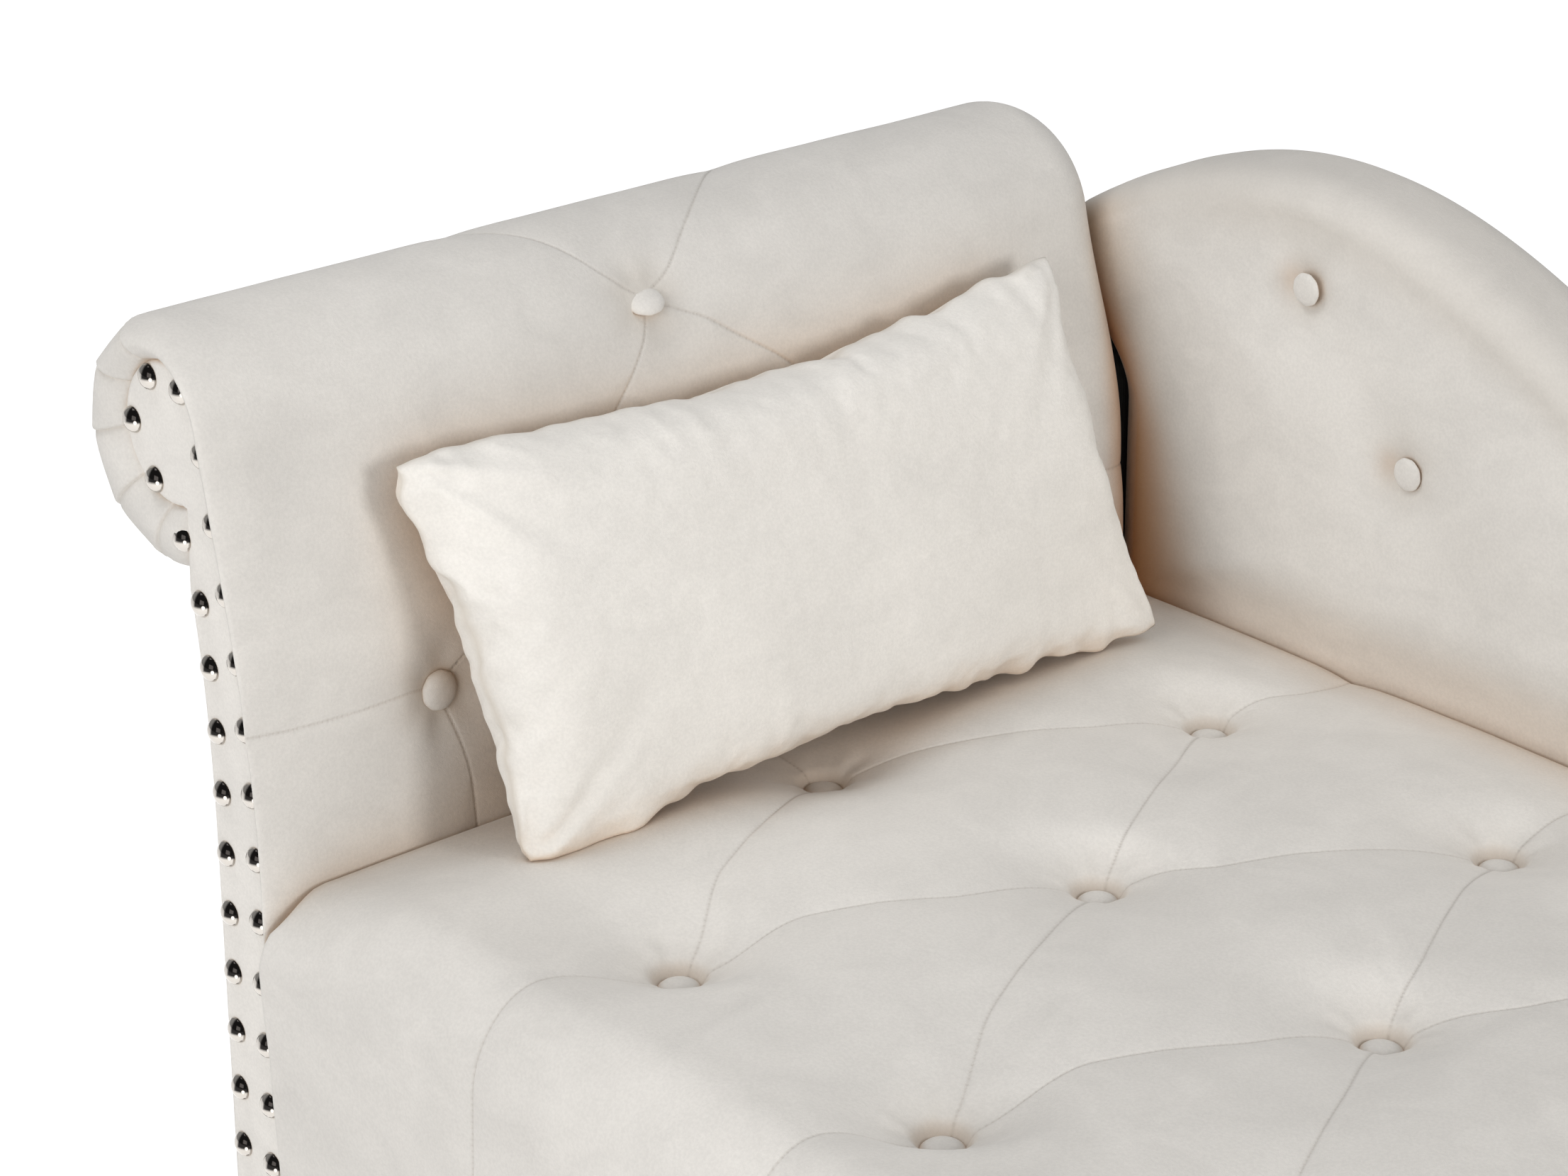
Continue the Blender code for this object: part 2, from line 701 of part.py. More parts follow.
def arm_drop(along, length, points, seams):
    """How far buttons and stitching draw the arm's cover in."""
    tuft = max(
        depth * dip(math.hypot(along - a, length - b), BUTTON_SEAT, ARM_TUFT_SPREAD)
        for a, b, depth in points
    )
    seam = max(dip(segment_distance(along, length, a, b), 0.0, SEAM_SPREAD) for a, b in seams)
    return max(tuft, 0.5 * SEAM_DEPTH * seam)


def build_arm_pad(velvet):
    """The pad over the arm's inner face and roll, open behind for the frame."""
    sections = arm_stations()
    centres = [ARM_BUTTON_MID + i * ARM_BUTTON_STEP for i in (-1, 0, 1)]
    alongs = seat_stations(
        0.0,
        ARM_LENGTH,
        centres,
        BUTTON_FRAME,
        2,
        ([0.0, FASCIA_THICKNESS, FASCIA_THICKNESS + 2 * GAP], [0.0, 0.3 * REAR_ROUND, REAR_ROUND]),
    )
    points = [(b[0], section_length(b[1], b[2]), b[3]) for b in arm_buttons()]
    seams = arm_seams()

    def place(index, along, depth):
        kind, value = sections[round(index)]
        at_front = along < FASCIA_THICKNESS + GAP
        in_x, in_up = arm_inside(kind, value, FASCIA_LIP if at_front else ARM_PAD)
        out_x, out_up, side_x, side_up = arm_outside(kind, value)
        drop = arm_drop(along, section_length(kind, value), points, seams)
        out_x -= side_x * drop
        out_up -= side_up * drop
        rear = edge_share(ARM_LENGTH - along, REAR_ROUND)
        keep = 1 - 0.65 * rear * rear if kind == "face" else 1 - 0.45 * rear * rear
        slope = 0.0
        if along == 0.0:
            turned = 0.0 if kind == "face" else min(1.0, (value - ROLL_START) / 1.2)
            slope = depth * (0.4 + 0.6 * turned) * FRONT_SLOPE
            slope -= math.sin(math.pi * depth) * FRONT_ROLL * (1 - 0.6 * turned)
            keep = 1 - 0.02 * turned
        share = depth * keep
        up = in_up + (out_up - in_up) * share
        return (in_x + (out_x - in_x) * share, along + slope, SEAT_Z + up)

    indices = [float(i) for i in range(len(sections))]
    return lattice("arm_pad", (indices, alongs, [0.0, 0.5, 1.0]), place, velvet, merge_flats=False)


def arm_outline(inset, left_inset, foot_x, clear):
    """Outline of a board that fills the arm's section, from its foot up the face and round the head."""
    points = [(foot_x, LEG_HEIGHT), (foot_x, SEAT_Z - ARM_TUCK - GAP)]
    low_x = arm_inside("face", -ARM_TUCK, inset)[0]
    points.append((low_x - clear, SEAT_Z - ARM_TUCK - GAP))
    for kind, value in arm_stations()[1:]:
        if kind == "face":
            x, up = arm_inside(kind, value, inset)
            side_x, side_up = arm_outside(kind, value)[2:]
            points.append((x - side_x * clear, SEAT_Z + up - side_up * clear))
        else:
            x, up = core_point(value, clear)
            points.append((x + (2 * clear if value == ROLL_END else 0.0), SEAT_Z + up))
    neck = ROLL_NECK_UP - clear
    for share in NECK_SHARES:
        points.append((outer_x(neck * share) + left_inset, SEAT_Z + neck * share))
    points.append((-ARM_WIDTH + left_inset, LEG_HEIGHT))
    return points


def build_arm_frame(ply, timber, board, velvet):
    """The arm's two ribs, its rails, the outer panel and the covered facing at its front."""
    rib = arm_outline(ARM_PAD, PANEL_THICKNESS + GAP, -GAP, GAP)
    front = FASCIA_THICKNESS + 3 * GAP
    rear_end = ARM_LENGTH - 0.3 * REAR_ROUND
    outline_solid("arm_front_rib", rib, front, front + RIB_THICKNESS, ply)
    rib_end = rear_end - RIB_SETBACK
    outline_solid("arm_rear_rib", rib, rib_end - RIB_THICKNESS, rib_end, ply)
    span = (front + RIB_THICKNESS + GAP, rib_end - RIB_THICKNESS - GAP)
    roll = [
        (0.0, span[1] - span[0]),
        (ROLL_RAIL_RADIUS, span[1] - span[0]),
        (ROLL_RAIL_RADIUS, 0.0),
        (0.0, 0.0),
    ]
    lathe("arm_roll_rail", roll, (-CORE_OUT, span[0], SEAT_Z + CORE_UP), (0, 1, 0), timber, steps=16)
    lower = box(
        "arm_lower_rail",
        (-GAP - ARM_RAIL_THICKNESS, span[0], LEG_HEIGHT + RAIL_THICKNESS),
        (-GAP, span[1], LEG_HEIGHT + RAIL_THICKNESS + ARM_RAIL_HEIGHT),
        timber,
    )
    fascia = arm_outline(FASCIA_LIP, 0.0, -0.0015, GAP)
    outline_solid("arm_front_facing", fascia, 0.0, FASCIA_THICKNESS, velvet)
    ups = [(ROLL_NECK_UP - 3 * GAP) * share for share in NECK_SHARES]
    outside = [(outer_x(up), SEAT_Z + up) for up in ups] + [(-ARM_WIDTH, LEG_HEIGHT)]
    inside = [(x + PANEL_THICKNESS, z) for x, z in reversed(outside)]
    outline_solid("arm_outer_panel", outside + inside, FASCIA_THICKNESS + GAP, rear_end, board)
    return lower


def outer_nail_path():
    """The row along the facing's outer edge, from the top of the roll's head to the base."""
    angles = spread(math.radians(116), math.radians(245), 12)
    arc = [core_point(angle, CORE_RADIUS - NAIL_ARC_RADIUS) for angle in angles]
    line = [(outer_x(up) + NAIL_OUTER_INSET, up) for up in NAIL_OUTER_UPS]
    return arc + [NAIL_NECK] + line


def inner_nail_path():
    """The row along the facing's inner edge, half under the pad's front roll."""
    angles = spread(math.radians(62), math.radians(-4), 6)
    arc = [core_point(angle, CORE_RADIUS - NAIL_ARC_RADIUS) for angle in angles]
    line = []
    for up in NAIL_INNER_UPS:
        line.append((arm_inside("face", up, FASCIA_LIP)[0] - NAIL_INNER_INSET, up))
    return arc + line


def along_path(path, pitch):
    """Points a pitch apart along a path of straight pieces, from its first point."""
    placed = [path[0]]
    left = pitch
    for (ax, az), (bx, bz) in zip(path, path[1:]):
        length = math.hypot(bx - ax, bz - az)
        done = 0.0
        while length - done >= left:
            done += left
            placed.append((ax + (bx - ax) * done / length, az + (bz - az) * done / length))
            left = pitch
        left -= length - done
    return placed


def build_nail_row(name, path, pitch, nickel):
    """A row of domed nails in front of the facing, on the thin wire that strings them together."""
    strung = [(x, -NAIL_WIRE - 3 * GAP, SEAT_Z + up) for x, up in path]
    string = wire(name, strung, NAIL_WIRE, nickel)
    bm = bmesh.new()
    for x, up in along_path(path, pitch):
        spot = Matrix.Translation((x, -GAP, SEAT_Z + up)) @ Matrix.Rotation(math.pi / 2, 4, "X")
        made = bmesh.ops.create_uvsphere(bm, u_segments=8, v_segments=4, radius=1.0)
        for vert in made["verts"]:
            height = max(0.0, vert.co.z) * NAIL_HEIGHT
            vert.co = spot @ Vector((vert.co.x * NAIL_RADIUS, vert.co.y * NAIL_RADIUS, height))
    heads = add_mesh(name + "_heads", bm, None, cutters)
    join = string.modifiers.new("heads", "BOOLEAN")
    join.operation = "UNION"
    join.object = heads
    return string


def build_bolt(name, start, end, steel):
    """A bolt from its head at start to its tip at end."""
    span = Vector(end) - Vector(start)
    length = span.length
    profile = [
        (0.0, length),
        (BOLT_RADIUS, length),
        (BOLT_RADIUS, 0.0),
        (BOLT_HEAD_RADIUS, 0.0),
        (BOLT_HEAD_RADIUS, -BOLT_HEAD_HEIGHT),
        (0.0, -BOLT_HEAD_HEIGHT),
    ]
    return lathe(name, profile, start, span, steel, steps=12)


def back_top(x):
    """Height of the part back's upper edge above the seat: a dome that sweeps down to the foot."""
    if x < BACK_PEAK_X:
        return BACK_PEAK_UP - BACK_DOME * (x - BACK_PEAK_X) ** 2
    turn = min(math.pi, math.pi * (x - BACK_PEAK_X) / BACK_SWOOP)
    return BACK_LOW_UP + (BACK_PEAK_UP - BACK_LOW_UP) * (1 + math.cos(turn)) / 2


def back_left(up):
    """X of the part back's head end, which leans out behind the arm's roll."""
    share = max(0.0, min(1.0, (up - BACK_LEFT_START) / BACK_LEFT_RISE))
    return -BACK_LEFT_LOW - (BACK_LEFT_TOP - BACK_LEFT_LOW) * share * share * (3 - 2 * share)


def back_point(across, rise, low, shrink):
    """A point of the back's outline, drawn in by shrink from its free edges."""
    hidden = min(1.0, rise / BACK_HIDDEN)
    right = BACK_LENGTH - shrink
    x = -BACK_LEFT_LOW + shrink + across * (right + BACK_LEFT_LOW - shrink)
    corner = max(0.0, (x - right + BACK_CORNER) / BACK_CORNER)
    lead = max(0.0, 1 - across / BACK_LEAD)
    rise = max(0.0, (rise - BACK_HIDDEN) / (1 - BACK_HIDDEN))
    foot = low + hidden * (BACK_SHOWS - low)
    x += lead * lead * (back_left(foot + rise * (back_top(x) - BACK_SHOWS)) + BACK_LEFT_LOW)
    top = back_top(x) - shrink - (BACK_CORNER * (1 - math.sqrt(max(0.0, 1 - corner * corner))))
    return x, foot + rise * (top - BACK_SHOWS)


def back_contour(inset):
    """The board's outline inside the back pad, from its head side's foot over the top."""
    sides = [back_point(0.0, rise, -BACK_TUCK, inset) for rise in (0.0, 0.4, 0.7, 0.85)]
    top = [back_point(a, 1.0, -BACK_TUCK, inset) for a in spread(0.0, 1.0, 26)]
    return [(x, SEAT_Z + up) for x, up in sides + top]


def build_back(velvet, timber, steel, rear_rail, seat_cover):
    """The part back: its pad, the board inside and the rear panel, bolted to the rear rail."""
    low = -BACK_TUCK
    ups = [0.0] + [BACK_HIDDEN + (1 - BACK_HIDDEN) * share for share in BACK_ROWS]
    across = spread(0.0, 0.12, 4) + spread(0.17, 0.94, 16) + [0.97, 0.988, 1.0]
    rear = BACK_REAR
    depths = [
        (rear, 0.45),
        (rear - 0.35 * BACK_ROUND, 0.08),
        (BACK_FACE + BACK_ROUND, 0.0),
        (BACK_FACE + 0.4 * BACK_ROUND, 0.16),
        (BACK_FACE + 0.1 * BACK_ROUND, 0.5),
        (BACK_FACE, 0.9),
    ]

    def place(a, rise, layer):
        y, draw = depths[round(layer)]
        x, up = back_point(a, rise, low, draw * BACK_ROUND * 0.9)
        if layer > len(depths) - 1.5:
            inner = min(1.0, a / 0.16, (1 - a) / 0.16, (1 - rise) / 0.3)
            inner = max(0.0, min(inner, (up - BACK_SHOWS) / BACK_SWELL))
            tuft = max(
                dip(math.hypot(x - bx, up - button_up), BUTTON_SEAT, BACK_TUFT_SPREAD)
                for bx, button_up in BACK_BUTTONS
            )
            y -= BACK_CROWN * inner * inner * (3 - 2 * inner) - BACK_TUFT_DEPTH * tuft
            y = max(y, BACK_FACE - BACK_CROWN)
        return x, y, SEAT_Z + up

    layers = [float(i) for i in range(len(depths))]
    pad = lattice("back_pad", (across, ups, layers), place, velvet)
    contour = back_contour(BACK_WRAP)
    below = SEAT_Z + low - 4 * GAP
    opening = [(contour[-1][0], below), (contour[0][0], below)]
    pocket = outline_solid(
        "back_pocket", contour + opening, BOARD_FRONT - GAP, rear + GAP, None, cutters
    )
    cut(pad, pocket)
    contour = back_contour(BACK_WRAP + GAP)
    base = [(contour[-1][0], LEG_HEIGHT), (contour[0][0], LEG_HEIGHT)]
    board_rear = BOARD_FRONT + BACK_BOARD
    frame = outline_solid("back_frame", contour + base, BOARD_FRONT, board_rear, timber)
    outline_solid("back_rear_panel", contour + base, rear - BACK_PANEL, rear, velvet)
    foot = box(
        "back_foot_block",
        (contour[0][0], BACK_FACE, LEG_HEIGHT),
        (contour[-1][0], board_rear - BACK_BOARD / 2, SEAT_Z + low - GAP),
        None,
        collection=cutters,
    )
    join = frame.modifiers.new("foot_block", "BOOLEAN")
    join.operation = "UNION"
    join.object = foot
    build_corner_post(velvet, rear)
    level = LEG_HEIGHT + BASE_HEIGHT / 2
    rail_inside = SEAT_BACK - COVER_WALL - GAP - RAIL_THICKNESS
    middle = BACK_LENGTH / 2
    for i, side in enumerate((-1, 1)):
        x = middle + side * BACK_BOLT_SPACING / 2
        start = (x, rail_inside - GAP, level)
        end = (x, BOARD_FRONT, level)
        build_bolt(f"back_bolt_{i + 1}", start, end, steel)
        past = (x, BOARD_FRONT + BOLT_CLEARANCE, level)
        before = (x, rail_inside - BOLT_HEAD_HEIGHT, level)
        bore = cylinder_cutter(f"back_bore_{i + 1}", before, past)
        for piece in (frame, rear_rail, seat_cover):
            cut(piece, bore)
    return pad


def build_corner_post(velvet, rear):
    """The covered post behind the arm's rear end, which closes the corner beside the back."""
    contour = [(-ARM_WIDTH, LEG_HEIGHT), (-ARM_WIDTH, SEAT_Z + POST_TOP)]
    for share in POST_ROWS:
        x, up = back_point(0.0, BACK_HIDDEN + (1 - BACK_HIDDEN) * share, -BACK_TUCK, 0.0)
        contour.append((x - 5 * GAP, SEAT_Z + up))
    contour.append((-BACK_LEFT_LOW - 5 * GAP, LEG_HEIGHT))
    return outline_solid("corner_post", contour, BACK_FACE, rear, velvet)


def front_of(pad, x, z):
    """The most forward Y of a pad under a button's back, where the button's rim touches it."""
    tree = BVHTree.FromPolygons(
        [vert.co for vert in pad.data.vertices], [face.vertices for face in pad.data.polygons]
    )
    found = []
    for step in range(12):
        angle = 2 * math.pi * step / 12
        spot = (x + BUTTON_RADIUS * math.cos(angle), -1.0, z + BUTTON_RADIUS * math.sin(angle))
        found.append(tree.ray_cast(spot, (0, 1, 0))[0].y)
    return min(found)


def build_arm_bolts(head_rail, seat_cover, arm_rail, steel):
    level = LEG_HEIGHT + RAIL_THICKNESS + ARM_RAIL_HEIGHT / 2
    rail_inside = COVER_WALL + GAP + RAIL_THICKNESS
    middle = ARM_LENGTH / 2
    for i, side in enumerate((-1, 1)):
        y = middle + side * ARM_BOLT_SPACING / 2
        tip = -GAP - ARM_RAIL_THICKNESS * 0.8
        build_bolt(f"arm_bolt_{i + 1}", (rail_inside + GAP, y, level), (tip, y, level), steel)
        before = (rail_inside + BOLT_HEAD_HEIGHT, y, level)
        past = (tip - BOLT_CLEARANCE, y, level)
        bore = cylinder_cutter(f"arm_bore_{i + 1}", before, past)
        for piece in (head_rail, seat_cover, arm_rail):
            cut(piece, bore)


def build_pillow(velvet):
    """The loose lumbar pillow, which stands on the seat and leans on the arm."""
    rows = spread(0.0, 1.0, 17)
    columns = spread(0.0, 1.0, 11)
    lean = Vector((-math.sin(PILLOW_LEAN), 0.0, math.cos(PILLOW_LEAN)))
    face = Vector((math.cos(PILLOW_LEAN), 0.0, math.sin(PILLOW_LEAN)))
    corner = Vector((PILLOW_FOOT_X, PILLOW_FOOT_Y, SEAT_Z + PILLOW_FOOT_UP))

    def place(across, rise, side):
        profile = (1 - abs(2 * across - 1) ** 2.6) * (1 - abs(2 * rise - 1) ** 2.3)
        puff = PILLOW_THICKNESS / 2 * max(0.0, profile) ** 0.62
        draw = PILLOW_DRAW * 4
        width = across + (0.5 - across) * 4 * rise * (1 - rise) * draw / PILLOW_WIDTH * 0.5
        height = rise + (0.5 - rise) * 4 * across * (1 - across) * draw / PILLOW_HEIGHT * 0.25
        at = corner + Vector((0, 1, 0)) * (width * PILLOW_WIDTH - PILLOW_SKEW * rise)
        at += lean * (height * PILLOW_HEIGHT)
        return at + face * (side * (puff + PILLOW_SEAM / 2))

    return lattice("lumbar_pillow", (rows, columns, [-1.0, 1.0]), place, velvet)


def build():
    velvet = material("ivory_velvet", (0.76, 0.72, 0.66), 0.85)
    pillow_velvet = material("pillow_velvet", (0.84, 0.80, 0.73), 0.85)
    timber = material("frame_timber", (0.62, 0.44, 0.26), 0.6)
    ply = material("plywood", (0.70, 0.54, 0.35), 0.6)
    board = material("covered_board", (0.74, 0.70, 0.64), 0.85)
    foam = material("foam", (0.90, 0.85, 0.62), 0.9)
    steel = material("steel", (0.45, 0.45, 0.46), 0.35, 1.0)
    nickel = material("polished_nickel", (0.62, 0.58, 0.52), 0.15, 1.0)
    cloth = material("black_cloth", (0.03, 0.03, 0.03), 0.95)
    leg_wood = material("leg_wood", (0.10, 0.05, 0.03), 0.4)

    cover = build_seat_cover(velvet)
    head_rail, rear_rail = build_seat_inside(timber, leg_wood, foam, steel, cloth)
    for i, (x, y) in enumerate(SEAT_BUTTONS):
        spot = (*settled(x, y), seat_top(x, y))
        build_button(f"seat_button_{i + 1:02d}", spot, (0, 0, 1), velvet)
    build_arm_pad(velvet)
    arm_rail = build_arm_frame(ply, timber, board, velvet)
    for i, (along, kind, value, depth) in enumerate(arm_buttons()):
        x, up, side_x, side_up = arm_outside(kind, value)
        flattened = ROLL_RADIUS * (1 - math.cos(BUTTON_FRAME / ROLL_RADIUS))
        sink = depth + (flattened if kind == "roll" else 0.0)
        spot = (x - side_x * sink, along, SEAT_Z + up - side_up * sink)
        build_button(f"arm_button_{i + 1}", spot, (side_x, 0, side_up), velvet)
    build_nail_row("outer_nail_row", outer_nail_path(), NAIL_PITCH, nickel)
    build_nail_row("inner_nail_row", inner_nail_path(), NAIL_INNER_PITCH, nickel)
    build_arm_bolts(head_rail, cover, arm_rail, steel)
    back_pad = build_back(velvet, timber, steel, rear_rail, cover)
    for i, (x, up) in enumerate(BACK_BUTTONS):
        y = front_of(back_pad, x, SEAT_Z + up)
        build_button(f"back_button_{i + 1}", (x, y, SEAT_Z + up), (0, -1, 0), velvet)
    build_pillow(pillow_velvet)
    low_x = -ROLL_OUT - ROLL_RADIUS
    low_y = min(SEAT_FRONT, -NAIL_HEIGHT - GAP)
    origin.location = (-(low_x + SEAT_LENGTH) / 2, -(low_y + BACK_REAR) / 2, 0.0)


clear_scene()
origin = bpy.data.objects.new("chaise_origin", None)
parts.objects.link(origin)
SEAT_BUTTONS = seat_buttons()
SEAT_SEAMS = seat_seams()
build()
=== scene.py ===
"""Dresses the chaise longue: velvet, tufting, covered buttons, nails, pillow, legs and stage."""

import math
import random

import bmesh
import bpy
import numpy as np
from bpy.props import FloatProperty, FloatVectorProperty, IntProperty, PointerProperty
from mathutils import Matrix, Vector, noise
from mathutils.bvhtree import BVHTree
from mathutils.geometry import delaunay_2d_cdt


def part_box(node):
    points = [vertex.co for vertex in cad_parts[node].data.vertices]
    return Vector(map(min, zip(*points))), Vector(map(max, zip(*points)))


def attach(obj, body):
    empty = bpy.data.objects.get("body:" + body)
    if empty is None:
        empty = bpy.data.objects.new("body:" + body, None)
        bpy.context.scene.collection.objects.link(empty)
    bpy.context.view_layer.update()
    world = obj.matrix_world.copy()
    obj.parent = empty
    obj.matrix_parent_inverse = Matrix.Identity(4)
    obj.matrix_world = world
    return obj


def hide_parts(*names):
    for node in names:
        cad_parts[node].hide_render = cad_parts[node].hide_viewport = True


bl_info = {
    "name": "Chaise Longue Upholstery",
    "version": (1, 0, 0),
    "blender": (4, 5, 0),
    "location": "View3D > Sidebar > Chaise",
    "description": "Upholsters the frame of a tufted chaise longue piece by piece",
    "category": "Object",
}

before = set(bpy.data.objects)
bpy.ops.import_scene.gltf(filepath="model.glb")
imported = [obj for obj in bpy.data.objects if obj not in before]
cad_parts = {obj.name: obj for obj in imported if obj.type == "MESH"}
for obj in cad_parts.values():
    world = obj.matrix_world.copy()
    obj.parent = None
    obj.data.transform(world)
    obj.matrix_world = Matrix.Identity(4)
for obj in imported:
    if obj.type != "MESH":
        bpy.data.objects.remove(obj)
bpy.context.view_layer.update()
BODY = "chaise"

# The frame's own sizes, in metres: X from the arm's inner face, Y from its front, up from the seat
GAP = 0.0003
LEG_HEIGHT = 0.1100
SEAT_Z = 0.4400
SEAT_LENGTH = 1.3330
SEAT_FRONT = -0.008
SEAT_BACK = 0.704
SEAT_MID = 0.348
EDGE_ROUND = 0.045
JOIN_ROUND = 0.010
SEAT_CROWN = 0.020
CROWN_REACH = 0.120
HEAD_MARGIN = 0.0888
FOOT_MARGIN = 0.1182
MID_BUTTONS = 6
COLUMN_STEP = 0.223
SETTLE_REACH = 0.066
SETTLE_FLAT = 0.0205
WALL_REACH = 0.45
ARM_LENGTH = 0.703
ARM_WIDTH = 0.058
ROLL_RADIUS = 0.075
ROLL_OUT = 0.103
ROLL_UP = 0.246
ROLL_START = math.radians(15)
ROLL_END = math.radians(289)
CORE_RADIUS = 0.043
CORE_OUT = 0.083
CORE_UP = 0.260
CORE_BLEND = 0.12
ARM_LEAN = 2.07
FLARE_POWER = 2.5
FLARE = 0.014
FASCIA_THICKNESS = 0.012
ARM_BUTTON_MID = 0.316
ARM_BUTTON_STEP = 0.184
ARM_BUTTON_UP = 0.087
ARM_BUTTON_ANGLE = math.radians(30)
HIGH_BUTTON_DEPTH = 0.0057
FACING_INSET = 0.004
NAIL_PITCH = 0.0388
NAIL_INNER_PITCH = 0.0405
NAIL_ARC_RADIUS = 0.0345
NAIL_NECK = (-0.0765, 0.209)
NAIL_OUTER_INSET = 0.0125
NAIL_INNER_INSET = 0.0112
NAIL_OUTER_UPS = (0.165, 0.135, 0.10, 0.06, 0.02, -0.30)
NAIL_INNER_UPS = (0.224, 0.183, 0.142, 0.10, 0.06, 0.02, -0.30)
BACK_FACE = SEAT_BACK + GAP
BACK_REAR = BACK_FACE + 0.080
BACK_LENGTH = 0.950
BACK_PEAK_X = 0.125
BACK_PEAK_UP = 0.3135
BACK_LOW_UP = 0.070
BACK_SWOOP = 0.6226
BACK_DOME = 1.6
BACK_LEFT_LOW = 0.025
BACK_LEFT_TOP = 0.075
BACK_LEFT_START = 0.130
BACK_LEFT_RISE = 0.120
BACK_LEAD = 0.12
BACK_ROUND = 0.030
BACK_SHOWS = 0.006
BACK_HIDDEN = 0.15
BACK_TUCK = 0.050
BACK_CORNER = 0.035
POST_TOP = 0.155
BACK_BUTTONS = ((0.141, 0.245), (0.237, 0.149), (0.430, 0.130))
PILLOW_WIDTH = 0.512
PILLOW_HEIGHT = 0.250
PILLOW_THICKNESS = 0.094
PILLOW_LEAN = math.radians(20)
PILLOW_SKEW = 0.028
PILLOW_FOOT_X = 0.0898
PILLOW_FOOT_Y = 0.123
PILLOW_FOOT_UP = 0.01705

TUFT_PITCH = (SEAT_LENGTH - HEAD_MARGIN - FOOT_MARGIN) / (MID_BUTTONS - 1)
ROLL_RIM_UP = ROLL_UP + ROLL_RADIUS * math.sin(ROLL_START)
ROLL_NECK_UP = ROLL_UP + ROLL_RADIUS * math.sin(ROLL_END)
ARM_LEAN_SIZE = (ROLL_OUT - ROLL_RADIUS * math.cos(ROLL_START)) / ROLL_RIM_UP**ARM_LEAN
SEAT_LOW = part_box("seat_cover")[0]
HEAD_FRONT = Vector((SEAT_LOW[0] - GAP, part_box("arm_front_facing")[0][1], 0.0))


def colour_choice(name, description, default):
    """A colour in the panel."""
    limits = {"subtype": "COLOR", "size": 3, "min": 0.0, "max": 1.0}
    return FloatVectorProperty(name=name, description=description, default=default, **limits)


def share_choice(name, description, default):
    """A share between 0 and 1 in the panel."""
    limits = {"subtype": "FACTOR", "min": 0.0, "max": 1.0}
    return FloatProperty(name=name, description=description, default=default, **limits)


def length_choice(name, description, default, least, most):
    """A length in metres in the panel."""
    limits = {"unit": "LENGTH", "min": least, "max": most}
    return FloatProperty(name=name, description=description, default=default, **limits)


def power_choice(name, description, default):
    """A lamp's power in the panel."""
    return FloatProperty(name=name, description=description, default=default, min=0.0, subtype="POWER")


class ChaiseVelvet(bpy.types.PropertyGroup):
    """Colours and pile of the velvet."""

    ivory: colour_choice("Ivory", "Colour of the seat, arm and back velvet", (0.715, 0.692, 0.659))
    pillow: colour_choice("Pillow", "Colour of the lumbar pillow's velvet", (0.815, 0.790, 0.750))
    stitch: colour_choice("Stitch", "Colour down in the sewn lines", (0.47, 0.43, 0.39))
    sheen: share_choice("Sheen", "How strongly the pile catches light at a glance", 0.35)
    roughness: share_choice("Roughness", "Roughness of the pile", 0.82)


class ChaiseTufting(bpy.types.PropertyGroup):
    """Depths and reaches of the tufts, folds and sewn lines."""

    seat_tuft: length_choice("Seat Tuft Depth", "Seat button's depth below the seat", 0.0150, 0.0, 0.04)
    seat_reach: length_choice("Seat Tuft Reach", "How wide a seat button draws the cover", 0.0360, 0.01, 0.08)
    seam_depth: length_choice("Seam Depth", "How far a sewn line lies below its padding", 0.0036, 0.0, 0.02)
    seam_reach: length_choice("Seam Reach", "Half the width of a seam's soft trough", 0.0160, 0.002, 0.05)
    stitch_width: length_choice("Stitch Groove", "Half the width of a seam's groove", 0.0009, 0.0003, 0.006)
    arm_tuft: length_choice("Arm Tuft Depth", "How far an arm button draws the pad in", 0.0100, 0.0, 0.03)
    back_tuft: length_choice("Back Tuft Depth", "How far a back button draws the pad in", 0.0085, 0.0, 0.03)


class ChaisePillow(bpy.types.PropertyGroup):
    """How the loose lumbar pillow is filled and puckered."""

    pressure: FloatProperty(name="Pressure", description="Pressure inside the cloth", default=4.0, min=0.0)
    frames: IntProperty(name="Frames", description="Frames that the cloth settles for", default=20, min=2)
    pucker: length_choice("Pucker", "Height of the puckers along the pillow's sewn edge", 0.0026, 0.0, 0.01)


class ChaiseNails(bpy.types.PropertyGroup):
    """The decorative nails' domes."""

    radius: length_choice("Nail Radius", "Radius of a nail's head", 0.0080, 0.003, 0.012)
    height: length_choice("Nail Height", "How proud a nail's head stands", 0.0052, 0.001, 0.01)


class ChaiseStage(bpy.types.PropertyGroup):
    """Lights and the floor."""

    foot: power_choice("Foot Light", "Power of the low light past the foot end", 43.0)
    front: power_choice("Front Light", "Power of the wide light in front", 46.0)
    top: power_choice("Top Light", "Power of the light high over the head end", 18.5)
    sky: FloatProperty(name="Sky", description="Strength of the white surroundings", default=0.375, min=0.0)


# Shapes of the frame that the covers follow


def smooth(share):
    """A soft step from 0 to 1."""
    share = np.clip(share, 0.0, 1.0)
    return share * share * (3 - 2 * share)


def bell(distance, width):
    """1 at distance 0, falling softly to 0."""
    return np.exp(-((distance / width) ** 2))


def dip(distance, flat, reach, power=1.5):
    """How deep a drawn-in point pulls the cover, from 1 at the point to 0 far from it."""
    return np.exp(-((np.maximum(0.0, distance - flat) / reach) ** power))


